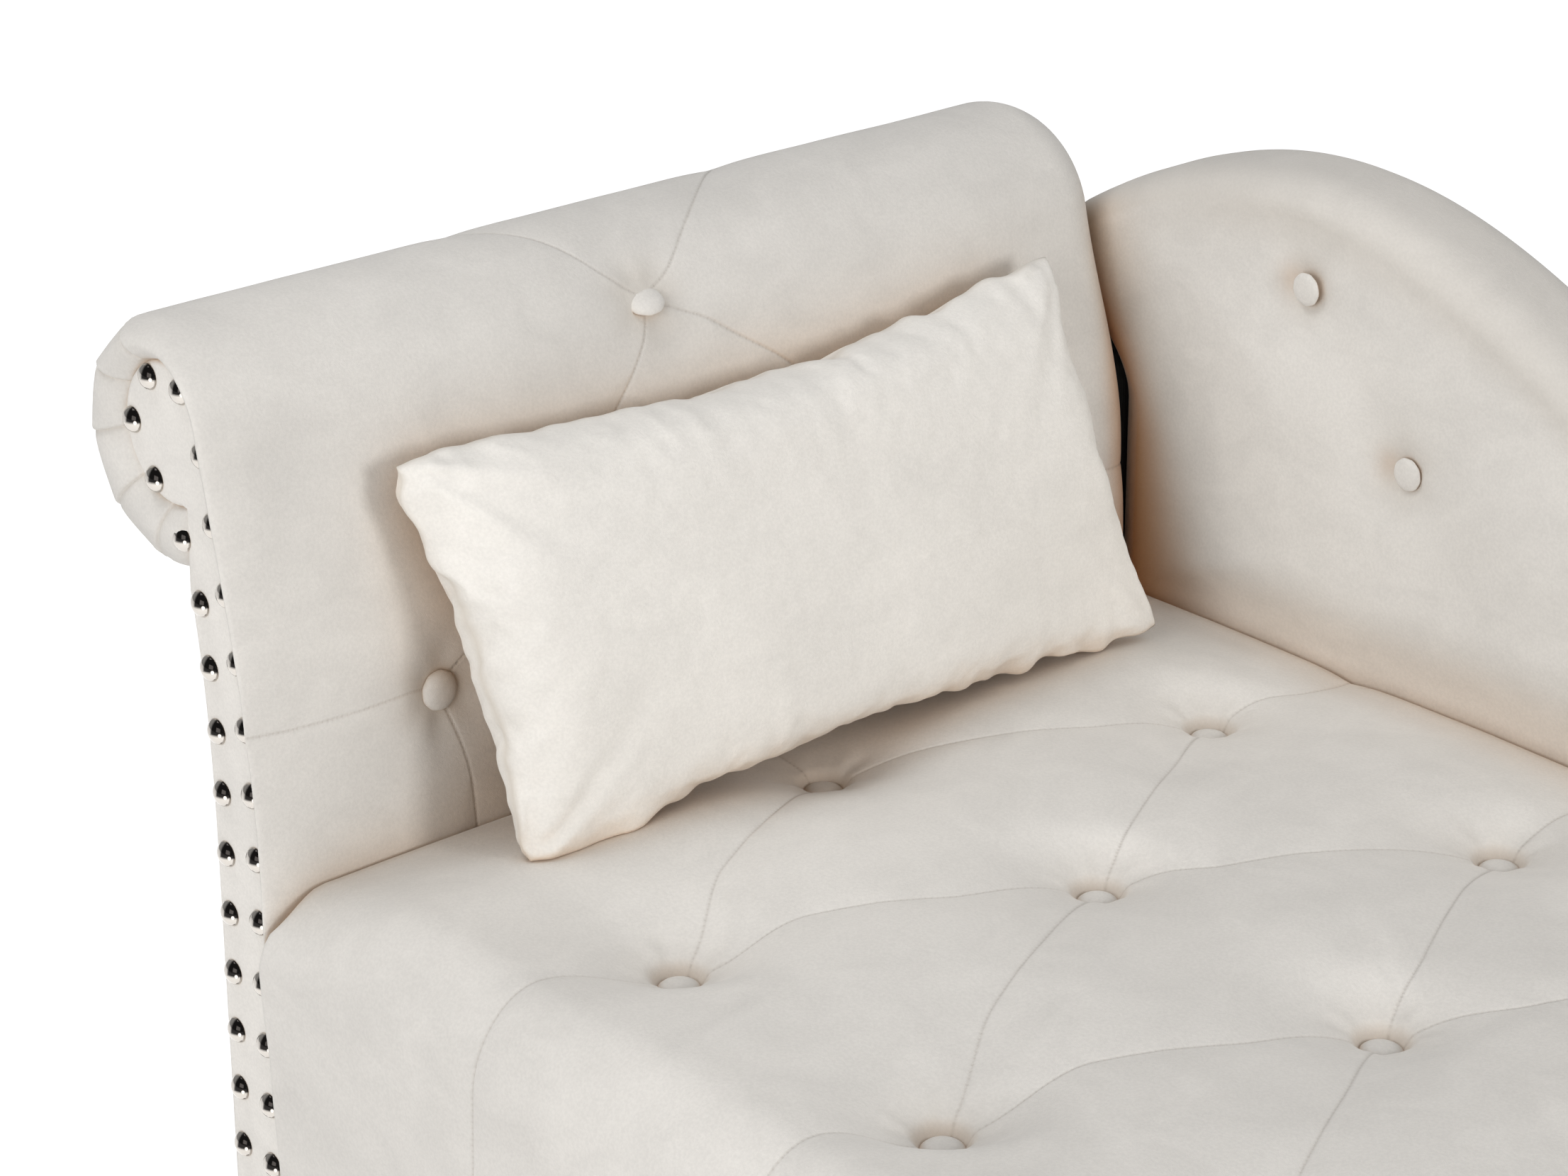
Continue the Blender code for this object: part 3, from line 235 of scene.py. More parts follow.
def along_line(x, y, start, end):
    """Distance from a sewn line, and how far along it a point lies."""
    ax, ay = start
    bx, by = end
    length = math.hypot(bx - ax, by - ay)
    share = np.clip(((x - ax) * (bx - ax) + (y - ay) * (by - ay)) / length**2, 0.0, 1.0)
    return np.hypot(x - ax - share * (bx - ax), y - ay - share * (by - ay)), share * length


def nearest_line(x, y, lines):
    """Distance from the nearest of several sewn lines, and the run along it."""
    near = np.full(np.shape(x), 9.0)
    run = np.zeros(np.shape(x))
    for start, end in lines:
        away, along = along_line(x, y, start, end)
        closer = away < near
        near = np.where(closer, away, near)
        run = np.where(closer, along, run)
    return near, run


def seat_buttons():
    """The regular plan of the seat's buttons: a middle row, then the front and the back row between."""
    middle = [(HEAD_MARGIN + i * TUFT_PITCH, SEAT_MID) for i in range(MID_BUTTONS)]
    sides = []
    for row in (-1, 1):
        for i in range(MID_BUTTONS - 1):
            sides.append((HEAD_MARGIN + (i + 0.5) * TUFT_PITCH, SEAT_MID + row * COLUMN_STEP))
    return middle + sides


def seat_seams():
    """The sewn lines of the seat in its regular plan."""
    buttons = seat_buttons()
    seams = []
    for i, (ax, ay) in enumerate(buttons):
        for bx, by in buttons[i + 1 :]:
            beside = abs(abs(ax - bx) - TUFT_PITCH / 2) < 0.001
            if beside and abs(abs(ay - by) - COLUMN_STEP) < 0.001:
                seams.append(((ax, ay), (bx, by)))
    for bx, by in buttons[MID_BUTTONS:]:
        seams.append(((bx, by), (bx, SEAT_FRONT - WALL_REACH if by < SEAT_MID else SEAT_BACK + 0.02)))
    seams.append((buttons[0], (0.0, SEAT_MID)))
    seams.append((buttons[MID_BUTTONS - 1], (SEAT_LENGTH + WALL_REACH, SEAT_MID)))
    return seams


SETTLE = (
    ((-0.004, 0.001), (-0.013, 0.022), (-0.011, 0.012), (0, 0), (0, 0), (0, 0))
    + ((0.020, -0.005), (0.021, -0.015), (0, 0), (0, 0), (0, 0))
    + ((-0.014, 0.0115), (0.001, 0.006), (0, 0), (0, 0), (0, 0))
)


def settled(x, y):
    """Where hand tufting leaves points of the seat's regular plan."""
    moved_x, moved_y = np.array(x, float), np.array(y, float)
    for (bx, by), (nudge_x, nudge_y) in zip(seat_buttons(), SETTLE):
        away = np.maximum(0.0, np.hypot(x - bx, y - by) - SETTLE_FLAT)
        share = smooth(1 - away / SETTLE_REACH)
        moved_x = moved_x + nudge_x * share
        moved_y = moved_y + nudge_y * share
    return moved_x, moved_y


def face_x(up):
    """The arm's inner face, which leans outward as it rises."""
    return -ARM_LEAN_SIZE * np.maximum(0.0, up) ** ARM_LEAN


def outer_x(up):
    """The arm's outer side, which flares a little below the roll."""
    return -ARM_WIDTH - FLARE * np.maximum(0.0, up / ROLL_NECK_UP) ** FLARE_POWER


def core_point(angle, radius=CORE_RADIUS):
    return -CORE_OUT + radius * math.cos(angle), CORE_UP + radius * math.sin(angle)


def arm_section(lengths):
    """Points and outward directions of the arm's section at lengths up its face and round its roll."""
    lengths = np.asarray(lengths, float)
    roll = lengths > ROLL_RIM_UP
    up = np.minimum(lengths, ROLL_RIM_UP)
    slope = ARM_LEAN * ARM_LEAN_SIZE * np.maximum(0.0, up) ** (ARM_LEAN - 1)
    size = np.hypot(1.0, slope)
    angle = ROLL_START + (lengths - ROLL_RIM_UP) / ROLL_RADIUS
    x = np.where(roll, -ROLL_OUT + ROLL_RADIUS * np.cos(angle), face_x(up))
    z = np.where(roll, ROLL_UP + ROLL_RADIUS * np.sin(angle), up)
    side_x = np.where(roll, np.cos(angle), 1.0 / size)
    side_z = np.where(roll, np.sin(angle), slope / size)
    return x, z, side_x, side_z


def section_length(angle):
    """How far round the arm's section an angle of the roll lies."""
    return ROLL_RIM_UP + (angle - ROLL_START) * ROLL_RADIUS


def arm_buttons():
    """(along, length up the section, depth) of the arm's covered buttons."""
    depth = bpy.context.scene.chaise_tufting.arm_tuft
    high = (ARM_BUTTON_MID, section_length(ARM_BUTTON_ANGLE), HIGH_BUTTON_DEPTH)
    low = [(ARM_BUTTON_MID + step, ARM_BUTTON_UP, depth) for step in (-ARM_BUTTON_STEP, ARM_BUTTON_STEP)]
    return [high] + low


def back_top(x):
    """The back's top edge: a dome over the head end, then a sweep down to the foot end."""
    turn = np.clip(math.pi * (x - BACK_PEAK_X) / BACK_SWOOP, 0.0, math.pi)
    sweep = BACK_LOW_UP + (BACK_PEAK_UP - BACK_LOW_UP) * (1 + np.cos(turn)) / 2
    return np.where(x < BACK_PEAK_X, BACK_PEAK_UP - BACK_DOME * (x - BACK_PEAK_X) ** 2, sweep)


def back_left(up):
    """The back's left edge, which steps behind the arm's roll as it rises."""
    share = smooth((up - BACK_LEFT_START) / BACK_LEFT_RISE)
    return -BACK_LEFT_LOW - (BACK_LEFT_TOP - BACK_LEFT_LOW) * share


def back_point(across, rise, low, shrink):
    """Points of the back's outline, drawn in by shrink from its free edges."""
    hidden = np.minimum(1.0, rise / BACK_HIDDEN)
    right = BACK_LENGTH - shrink
    x = -BACK_LEFT_LOW + shrink + across * (right + BACK_LEFT_LOW - shrink)
    corner = np.clip((x - right + BACK_CORNER) / BACK_CORNER, 0.0, 1.0)
    lead = np.maximum(0.0, 1 - across / BACK_LEAD)
    rise = np.maximum(0.0, (rise - BACK_HIDDEN) / (1 - BACK_HIDDEN))
    foot = low + hidden * (BACK_SHOWS - low)
    lean = back_left(foot + rise * (back_top(x) - BACK_SHOWS)) + BACK_LEFT_LOW
    x = x + lead * lead * lean
    top = back_top(x) - shrink - BACK_CORNER * (1 - np.sqrt(1 - corner * corner))
    return x, foot + rise * (top - BACK_SHOWS)


# Making meshes


def spread(low, high, count):
    """Evenly spaced values from low to high."""
    return [low + (high - low) * i / (count - 1) for i in range(count)]


def stations(low, high, step):
    """Evenly spaced values from low to high, about a step apart."""
    return spread(low, high, max(2, round((high - low) / step) + 1))


def flat_grid(us, vs):
    """A flat mesh of squares whose points lie at (u, v)."""
    bm = bmesh.new()
    rows = [[bm.verts.new((u, v, 0.0)) for u in us] for v in vs]
    for low, high in zip(rows, rows[1:]):
        for i in range(len(us) - 1):
            bm.faces.new((low[i], low[i + 1], high[i + 1], high[i]))
    return bm


def plan(bm):
    """The flat place of every point of a mesh."""
    points = np.array([vert.co[:2] for vert in bm.verts])
    return points[:, 0], points[:, 1]


def refine(bm, wanted, rounds):
    """Splits the squares where wanted(u, v) holds, once for each round's reach."""
    for reach in rounds:
        u, v = plan(bm)
        inside = wanted(u, v, reach)
        bm.verts.index_update()
        edges = [e for e in bm.edges if inside[e.verts[0].index] or inside[e.verts[1].index]]
        bmesh.ops.subdivide_edges(bm, edges=edges, cuts=1, use_grid_fill=True)
    return bm


def bridge(bm, rings):
    """Joins closed rings of points, one after another, into a skin."""
    for a, b in zip(rings, rings[1:]):
        count = len(a)
        for i in range(count):
            bm.faces.new((a[i], a[(i + 1) % count], b[(i + 1) % count], b[i]))


def turned(bm, spot, profile, lay, count):
    """A skin turned about an axis at spot, from (radius, height) pairs that lay puts in space."""
    rings = []
    for radius, high in profile:
        ring = []
        for i in range(count):
            angle = 2 * math.pi * i / count
            place = lay(radius * math.cos(angle), radius * math.sin(angle), high)
            ring.append(bm.verts.new(spot + Vector(place)))
        rings.append(ring)
    bridge(bm, rings)
    return rings


def dress(name, bm, points, finish, fields=None, thick=0.0):
    """An object on the part from a mesh, whose points move to where they belong."""
    if points is not None:
        for vert, point in zip(bm.verts, points.tolist()):
            vert.co = point
    mesh = bpy.data.meshes.new(name)
    bm.to_mesh(mesh)
    bm.free()
    for field, values in (fields or {}).items():
        layer = mesh.attributes.new(field, "FLOAT", "POINT")
        layer.data.foreach_set("value", np.asarray(values, np.float32))
    for face in mesh.polygons:
        face.use_smooth = True
    mesh.materials.append(finish)
    obj = bpy.data.objects.new(name, mesh)
    bpy.context.scene.collection.objects.link(obj)
    if thick:
        shell = obj.modifiers.new("cloth", "SOLIDIFY")
        shell.thickness = thick
        shell.offset = -1.0
        apply_modifiers(obj)
    return obj


def apply_modifiers(obj):
    """Bakes an object's modifiers into its mesh."""
    graph = bpy.context.evaluated_depsgraph_get()
    baked = bpy.data.meshes.new_from_object(obj.evaluated_get(graph))
    old = obj.data
    obj.modifiers.clear()
    obj.data = baked
    baked.name = obj.name
    bpy.data.meshes.remove(old)


def place_on_part(points):
    """Design points, measured from the arm's front foot, to where the frame stands."""
    return np.asarray(points, float) + np.array(HEAD_FRONT)


def fit(obj, slot, *nodes, body=BODY):
    """Lets a finished piece ride on its body and stand for its solids."""
    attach(obj, body)
    if nodes:
        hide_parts(*nodes)
    return obj


def ruffle(x, y, z, scale, seed):
    """Soft unevenness between -1 and 1 at places in metres."""
    offset = Vector((seed * 3.1, seed * 1.7, seed * 2.3))
    spots = zip(np.ravel(x).tolist(), np.ravel(y).tolist(), np.ravel(z).tolist())
    return np.array([noise.noise(Vector(spot) / scale + offset) for spot in spots])


# Finishes

STITCH_LENGTH = 0.0036
FLOOR_GLOW = 0.72


def uneven(x, y, *layers):
    """Unevenness of a flat cloth in layers of (size of its features, seed, height)."""
    return sum(ruffle(x, y, x * 0, scale, seed) * height for scale, seed, height in layers)


class Nodes:
    """Short ways to add nodes to a tree."""

    def __init__(self, tree):
        self.tree = tree

    def put(self, node, inputs):
        for name, value in inputs.items():
            if isinstance(value, bpy.types.NodeSocket):
                self.tree.links.new(value, node.inputs[name])
            else:
                node.inputs[name].default_value = value

    def add(self, kind, inputs=None, **settings):
        node = self.tree.nodes.new(kind)
        for name, value in settings.items():
            setattr(node, name, value)
        self.put(node, inputs or {})
        return node

    def spread(self, value, low, high, to_low, to_high):
        wanted = {"Value": value, "From Min": low, "From Max": high}
        wanted.update({"To Min": to_low, "To Max": to_high})
        return self.add("ShaderNodeMapRange", wanted).outputs["Result"]

    def maths(self, operation, first, second=0.0, third=0.0):
        wanted = {0: first, 1: second, 2: third}
        return self.add("ShaderNodeMath", wanted, operation=operation).outputs[0]

    def mix(self, share, first, second, blend="MIX"):
        node = self.add("ShaderNodeMix", data_type="RGBA", blend_type=blend)
        self.put(node, {0: share, 6: first, 7: second})
        return node.outputs[2]


class Finish(Nodes):
    """A material under construction."""

    def __init__(self, name, colour, roughness, metallic=0.0):
        self.material = bpy.data.materials.new(name)
        self.material.use_nodes = True
        super().__init__(self.material.node_tree)
        self.shader = self.tree.nodes["Principled BSDF"]
        self.put(self.shader, {"Base Color": (*colour, 1.0), "Roughness": roughness, "Metallic": metallic})
        self.place = self.add("ShaderNodeTexCoord").outputs["Object"]

    def grain(self, scale, detail=3.0, distortion=0.0, stretch=None, rough=0.55):
        """Noise over the piece, in features per metre; stretch draws it out along the axes."""
        place = self.place
        if stretch:
            mapped = self.add("ShaderNodeMapping", {"Vector": place, "Scale": stretch})
            place = mapped.outputs["Vector"]
        wanted = {"Vector": place, "Scale": scale, "Detail": detail, "Distortion": distortion}
        wanted["Roughness"] = rough
        return self.add("ShaderNodeTexNoise", wanted).outputs["Fac"]

    def field(self, name):
        return self.add("ShaderNodeAttribute", attribute_name=name).outputs["Fac"]

    def bump(self, height, distance, strength=1.0, below=None):
        wanted = {"Height": height, "Distance": distance, "Strength": strength}
        if below:
            wanted["Normal"] = below
        return self.add("ShaderNodeBump", wanted).outputs["Normal"]

    def finish(self, **sockets):
        """The material, with the shader's last sockets set by their names."""
        self.put(self.shader, {name.replace("_", " "): value for name, value in sockets.items()})
        return self.material


def shaded(colour, *shares):
    """A colour darkened or lightened by a share, or by one share for each channel."""
    shares = shares * 3 if len(shares) == 1 else shares
    return tuple(min(1.0, c * share) for c, share in zip(colour, shares)) + (1.0,)


def velvet_finish(name, colour, nap=1.0, darkens_drawn=True, shade_reach=0.07):
    """Short-pile velvet: brushed patches of nap, fine pile, and stitching where fields mark it, with painted
    shade: darker where the drawn field marks flattened pile and painted shade, a warm-brown painted shadow
    where a field marks it, and a warm painted shade from ambient occlusion in recesses.
    """
    velvet = bpy.context.scene.chaise_velvet
    made = Finish(name, colour, velvet.roughness)
    clouds = made.grain(5.5, 3.0, 0.5)
    brushed = made.grain(17.0, 4.0, 1.2, (1.0, 1.0, 1.6))
    specks = made.grain(520.0, 2.0)
    shade = made.maths("MULTIPLY_ADD", clouds, 0.55, made.maths("MULTIPLY", brushed, 0.45))
    share = made.spread(shade, 0.36, 0.64, 0.0, 1.0)
    surface = made.mix(share, shaded(colour, 1 - 0.075 * nap), shaded(colour, 1 + 0.045 * nap))
    surface = made.mix(1.0, surface, made.spread(specks, 0.35, 0.65, 0.97, 1.03), "MULTIPLY")
    # Where the drawn field marks it, the velvet is darkened to a warm shade: flattened pile and painted shade
    # in the tufts' dips and creases.
    if darkens_drawn:
        crush_and_shade = made.maths("MULTIPLY", made.field("drawn"), 0.85)
        surface = made.mix(crush_and_shade, surface, shaded(colour, 0.80, 0.765, 0.72))
    # Painted shadow: a warm brown where a field marks the shade beside the open corner and beside the back's
    # buttons.
    surface = made.mix(made.field("painted_shade"), surface, shaded(colour, 0.80, 0.42, 0.16))
    sewn = made.field("sewn")
    beat = made.maths("FRACT", made.maths("DIVIDE", made.field("run"), STITCH_LENGTH))
    gap = made.spread(beat, 0.62, 0.74, 0.0, 1.0)
    line = made.maths("MULTIPLY", sewn, made.maths("MULTIPLY_ADD", gap, 0.28, 0.32))
    surface = made.mix(line, surface, (*velvet.stitch, 1.0))
    # Painted shade: the colour turns warm and darker where ambient occlusion finds the surface shut in.
    occlusion = made.add("ShaderNodeAmbientOcclusion", {"Distance": shade_reach}, samples=6)
    open_share = made.spread(occlusion.outputs["AO"], 0.05, 0.72, 0.0, 1.0)
    shadow = made.mix(open_share, (0.86, 0.68, 0.52, 1.0), (1.0, 1.0, 1.0, 1.0))
    surface = made.mix(1.0, surface, shadow, "MULTIPLY")
    thread = made.maths("MULTIPLY", sewn, made.maths("SUBTRACT", 1.0, gap))
    normal = made.bump(made.grain(2300.0, 2.0), 0.00028, 0.55)
    normal = made.bump(made.grain(120.0, 3.0, 2.0), 0.00045, 0.45, normal)
    normal = made.bump(thread, 0.0003, 0.6, normal)
    rough = made.spread(brushed, 0.3, 0.7, velvet.roughness - 0.07, velvet.roughness + 0.07)
    made.finish(Sheen_Weight=velvet.sheen, Sheen_Roughness=0.36, Sheen_Tint=(1.0, 0.985, 0.96, 1.0))
    return made.finish(Base_Color=surface, Specular_IOR_Level=0.22, Roughness=rough, Normal=normal)


def wood_finish(name, colour, ring=26.0, gloss=0.5):
    """Straight-grained wood with fine pores."""
    made = Finish(name, colour, gloss)
    rings = made.grain(ring, 5.0, 1.6, (0.35, 1.0, 1.0), 0.6)
    pores = made.grain(420.0, 2.0, 0.2, (0.06, 1.0, 1.0))
    surface = made.mix(made.spread(rings, 0.36, 0.64, 0.0, 1.0), shaded(colour, 0.55), (*colour, 1.0))
    surface = made.mix(1.0, surface, made.spread(pores, 0.3, 0.6, 0.82, 1.0), "MULTIPLY")
    rough = made.spread(rings, 0.3, 0.7, gloss - 0.06, gloss + 0.1)
    return made.finish(Base_Color=surface, Roughness=rough, Normal=made.bump(pores, 0.0002, 0.4))


def leg_finish():
    """Dark turned wood, its grain along the leg, under a satin lacquer."""
    made = Finish("leg_wood_finish", (0.060, 0.032, 0.020), 0.35)
    rings = made.grain(60.0, 5.0, 1.2, (1.0, 1.0, 0.12), 0.6)
    surface = made.mix(rings, (0.030, 0.016, 0.010, 1.0), (0.105, 0.058, 0.034, 1.0))
    made.finish(Base_Color=surface, Coat_Weight=0.35, Coat_Roughness=0.15)
    rough = made.spread(rings, 0.3, 0.7, 0.3, 0.42)
    return made.finish(Normal=made.bump(rings, 0.0002, 0.3), Roughness=rough)


def nickel_finish():
    """Dark polished nickel with painted reflections: painted lighter round a dome's rim, below it and on its
    left, with one small painted highlight.
    """
    made = Finish("polished_nickel_finish", (0.04, 0.036, 0.033), 0.10, 1.0)
    rim = made.add("ShaderNodeLayerWeight", {"Blend": 0.5}).outputs["Facing"]
    facing = made.add("ShaderNodeSeparateXYZ", {0: made.add("ShaderNodeNewGeometry").outputs["Normal"]})
    east, south, up = (facing.outputs[axis] for axis in "XYZ")
    # Painted reflections from the normal: a light rim, a light lower part, a light left side and a small
    # painted highlight.
    painted_highlight = made.maths("MULTIPLY_ADD", east, 0.70, made.maths("MULTIPLY", south, -0.71))
    share = made.spread(rim, 0.62, 0.95, 0.0, 1.0)
    for value, low, high, bright, rest in (
        (up, -0.12, 0.04, 0.70, 0.0),
        (east, -0.02, 0.14, 0.58, 0.0),
        (painted_highlight, 0.984, 0.992, 0.0, 1.3),
    ):
        share = made.maths("MAXIMUM", share, made.spread(value, low, high, bright, rest))
    surface = made.mix(share, (0.012, 0.010, 0.009, 1.0), (0.80, 0.75, 0.69, 1.0))
    scuff = made.grain(900.0, 2.0)
    made.finish(Base_Color=surface, Coat_Weight=0.2, Coat_Roughness=0.06)
    rough = made.spread(scuff, 0.3, 0.7, 0.08, 0.16)
    return made.finish(Normal=made.bump(scuff, 0.00004, 0.2), Roughness=rough)


def metal_finish(name, colour, roughness, wear=0.1):
    """Metal with hairline scuffs and uneven polish."""
    made = Finish(name, colour, roughness, 1.0)
    cloud = made.spread(made.grain(240.0), 0.4, 0.6, 0.0, 1.0)
    scuff = made.grain(1500.0, 2.0, 0.4, (1.0, 0.2, 1.0))
    rough = made.spread(scuff, 0.4, 0.7, roughness, roughness + wear)
    surface = made.mix(cloud, (*colour, 1.0), shaded(colour, 0.82))
    return made.finish(Base_Color=surface, Roughness=rough, Normal=made.bump(scuff, 0.00005, 0.25))


def cloth_finish(name, colour, threads=900.0):
    """Plain woven cloth."""
    made = Finish(name, colour, 0.95)
    warp = made.add("ShaderNodeTexWave", {"Vector": made.place, "Scale": threads / 6.3})
    weft = made.add("ShaderNodeTexWave", {"Vector": made.place, "Scale": threads / 6.3}, bands_direction="Y")
    weave = made.maths("MULTIPLY", warp.outputs["Fac"], weft.outputs["Fac"])
    shade = made.maths("MULTIPLY_ADD", weave, 0.35, made.spread(made.grain(40.0), 0.3, 0.7, 0.6, 0.85))
    surface = made.mix(1.0, (*colour, 1.0), shade, "MULTIPLY")
    return made.finish(Base_Color=surface, Normal=made.bump(weave, 0.0002, 0.6))


def foam_finish():
    """Open-cell cushion foam."""
    colour = (0.86, 0.80, 0.60)
    made = Finish("foam_finish", colour, 0.95)
    cells = made.add("ShaderNodeTexVoronoi", {"Vector": made.place, "Scale": 700.0}).outputs["Distance"]
    surface = made.mix(1.0, (*colour, 1.0), made.spread(cells, 0.0, 0.6, 0.72, 1.0), "MULTIPLY")
    return made.finish(Base_Color=surface, Normal=made.bump(cells, 0.0006, 0.7))


FINISHES = {}


def finish_named(name):
    """A finish of the chaise, made once."""
    if name in FINISHES:
        return FINISHES[name]
    velvet = bpy.context.scene.chaise_velvet
    # The facing's velvet is the ivory lightened by 1.13: painted light on the arm's front.
    ivory, bright = tuple(velvet.ivory), [c * 1.13 for c in velvet.ivory]
    makers = {
        "velvet": lambda: velvet_finish("ivory_velvet_finish", ivory),
        "pillow": lambda: velvet_finish("pillow_velvet_finish", tuple(velvet.pillow), 0.8),
        "button": lambda: velvet_finish("button_velvet_finish", ivory, 0.5, False),
        "facing": lambda: velvet_finish("facing_lightened_velvet_finish", bright, 1.0, False, 0.02),
        "timber": lambda: wood_finish("frame_timber_finish", (0.62, 0.44, 0.26)),
        "plywood": lambda: wood_finish("plywood_finish", (0.68, 0.52, 0.34), 60.0, 0.6),
        "leg": leg_finish,
        "nickel": nickel_finish,
        "steel": lambda: metal_finish("spring_steel_finish", (0.42, 0.42, 0.43), 0.34, 0.15),
        "black": lambda: cloth_finish("black_cloth_finish", (0.03, 0.03, 0.03)),
        "foam": foam_finish,
    }
    FINISHES[name] = makers[name]()
    return FINISHES[name]


# The pieces

HEAD_DROPS = (0.0, 0.018, 0.045, 0.075, 0.100, 0.160, 0.300)
HEAD_SWELL = (0.0, -0.004, -0.0062, -0.0035, 0.0006, 0.0034, 0.0070)
BUTTON_FLAT = 0.0105
FOLD_HEIGHT = 0.0004
GROOVE_DEPTH = 0.0006
FINE_MESH_ROUND_BUTTON = 0.030
# The padding on the seat's walls, its seams, and where it starts and thins out below the edge
WALL_PAD = 0.0055
WALL_TROUGH = 0.0035
WALL_GROOVE = 0.0007
WALL_START = 0.03
WALL_THINS = (0.10, 0.20, 0.75)
FOOT_INSET = 0.0045
BUTTON_SIDES = 40
BUTTON_PROFILE = ((0.22, 0.99), (0.45, 0.93), (0.66, 0.82), (0.82, 0.66), (0.93, 0.46))
BUTTON_PROFILE += ((0.99, 0.26), (1.0, 0.12), (0.96, 0.03), (0.86, 0.0))
# A button's height and radius: proud on the seat and the arm, small and flat on the back
COVERED_BUTTON = (0.0058, 0.0125)
BACK_BUTTON = (0.0029, 0.0108)
HIGH_BUTTON_AXIS = (0.38, -0.16, 0.91)
ARM_BUTTON_SEED = 30
BACK_BUTTON_SEED = 40


def gathers(u, v, centre, radius, width, *waves):
    """Small folds in a ring round a button, from waves of (count, turn, height)."""
    away = np.hypot(u - centre[0], v - centre[1])
    angle = np.arctan2(v - centre[1], u - centre[0])
    ripples = [high * np.sin(angle * count + turn) for count, turn, high in waves]
    return bell(away - radius, width) * sum(ripples)


def wrapped(past, radius):
    """Sideways reach and drop of cloth that rounds an edge and then hangs down a wall."""
    arc = np.clip(past / radius, 0.0, math.pi / 2)
    down = np.maximum(0.0, past - radius * math.pi / 2)
    return radius * np.sin(arc), radius * (1 - np.cos(arc)) + down


def seat_drape(u, v, base_x, base_y):
    """Where the plain cover lies: its place, its drop from the top and the way its wall faces."""
    round_x = np.where(u > SEAT_LENGTH / 2, EDGE_ROUND, JOIN_ROUND)
    round_y = np.where(v < SEAT_MID, EDGE_ROUND, JOIN_ROUND)
    total_x = round_x * math.pi / 2 + SEAT_Z - LEG_HEIGHT - round_x
    total_y = round_y * math.pi / 2 + SEAT_Z - LEG_HEIGHT - round_y
    px, py = np.abs(u - base_x) / total_x, np.abs(v - base_y) / total_y
    most = np.maximum(px, py)
    turn = np.where(px >= py, py / np.maximum(px, 1e-9), 2 - px / np.maximum(py, 1e-9))
    turn = np.where(most < 1e-9, 0.0, turn) * math.pi / 4
    reach_x, drop_x = wrapped(most * total_x, round_x)
    reach_y, drop_y = wrapped(most * total_y, round_y)
    square = 1 / (np.cos(turn) ** 4 + np.sin(turn) ** 4) ** 0.25
    x = base_x + np.sign(u - base_x) * reach_x * np.cos(turn) * square
    y = base_y + np.sign(v - base_y) * reach_y * np.sin(turn) * square
    return x, y, drop_x * np.cos(turn) ** 2 + drop_y * np.sin(turn) ** 2, turn


def seat_shape(u, v):
    """Points of the seat cover for its flat cloth: a tufted top whose edges turn down as walls."""
    tufting = bpy.context.scene.chaise_tufting
    base_x = np.clip(u, GAP + JOIN_ROUND, SEAT_LENGTH - EDGE_ROUND)
    base_y = np.clip(v, SEAT_FRONT + EDGE_ROUND, SEAT_BACK - JOIN_ROUND)
    x, y, drop, turn = seat_drape(u, v, base_x, base_y)
    pull = np.zeros(u.shape)
    fold = np.zeros(u.shape)
    for i, centre in enumerate(seat_buttons()):
        away = np.hypot(u - centre[0], v - centre[1])
        wide = dip(away, BUTTON_FLAT, tufting.seat_reach)
        broad = dip(away, BUTTON_FLAT, tufting.seat_reach * 2.2, 1.2)
        near = dip(away, 0.0108, 0.0048, 2.0)
        pull = np.maximum(pull, 0.46 * wide + 0.28 * broad + 0.26 * near)
        fold = fold + gathers(u, v, centre, 0.026, 0.013, (7, i * 1.9, 1.0), (11, i * 4.1, 0.6))
    near, run = nearest_line(u, v, seat_seams())
    trough = dip(near, 0.0, tufting.seam_reach, 1.3) * (1 - 0.55 * np.clip(drop / 0.09, 0.0, 1.0))
    groove = bell(near, tufting.stitch_width)
    crown = SEAT_CROWN * smooth(base_x / CROWN_REACH) * smooth((SEAT_BACK - base_y) / CROWN_REACH)
    soft = uneven(u, v, (0.16, 1, 0.0012), (0.05, 2, 0.00035))
    lift = (crown - tufting.seam_depth * trough + soft) * (1 - pull)
    lift = lift - tufting.seat_tuft * pull + FOLD_HEIGHT * fold - GROOVE_DEPTH * groove
    padding = (WALL_PAD - WALL_TROUGH * trough - WALL_GROOVE * groove + soft) * smooth(drop / WALL_START)
    thins_at, thins_over, thinned = WALL_THINS
    padding = padding * (1 - thinned * smooth((drop - thins_at) / thins_over))
    y = y - padding * np.sin(turn) * (v < SEAT_MID)
    x = x + (padding - FOOT_INSET) * np.cos(turn) * (u > base_x) * smooth(drop / WALL_START) * 0.6
    moved_x, moved_y = settled(x, y)
    keep = 1 - smooth(drop / EDGE_ROUND)
    x, y = x + (moved_x - x) * keep, y + (moved_y - y) * keep
    x = x + head_corner(x, y, drop)
    z = SEAT_Z - drop + lift * (1 - np.clip(drop / EDGE_ROUND, 0.0, 1.0))
    # Darker velvet round the buttons: flattened pile and painted shade in the tufts' dips.
    drawn = np.clip(pull * 1.2 - 0.45, 0.0, 1.0) ** 1.5
    points = np.stack([x, y, np.maximum(z, LEG_HEIGHT)], axis=1)
    return points, {"sewn": bell(near, tufting.stitch_width * 0.9), "run": run, "drawn": drawn}


def head_corner(x, y, drop):
    """How the seat's corner swells over the facing and draws back further down."""
    ahead = smooth((0.003 - y) / 0.007) * smooth((0.050 - x) / 0.045)
    swell = np.interp(drop, HEAD_DROPS, HEAD_SWELL)
    return swell * ahead


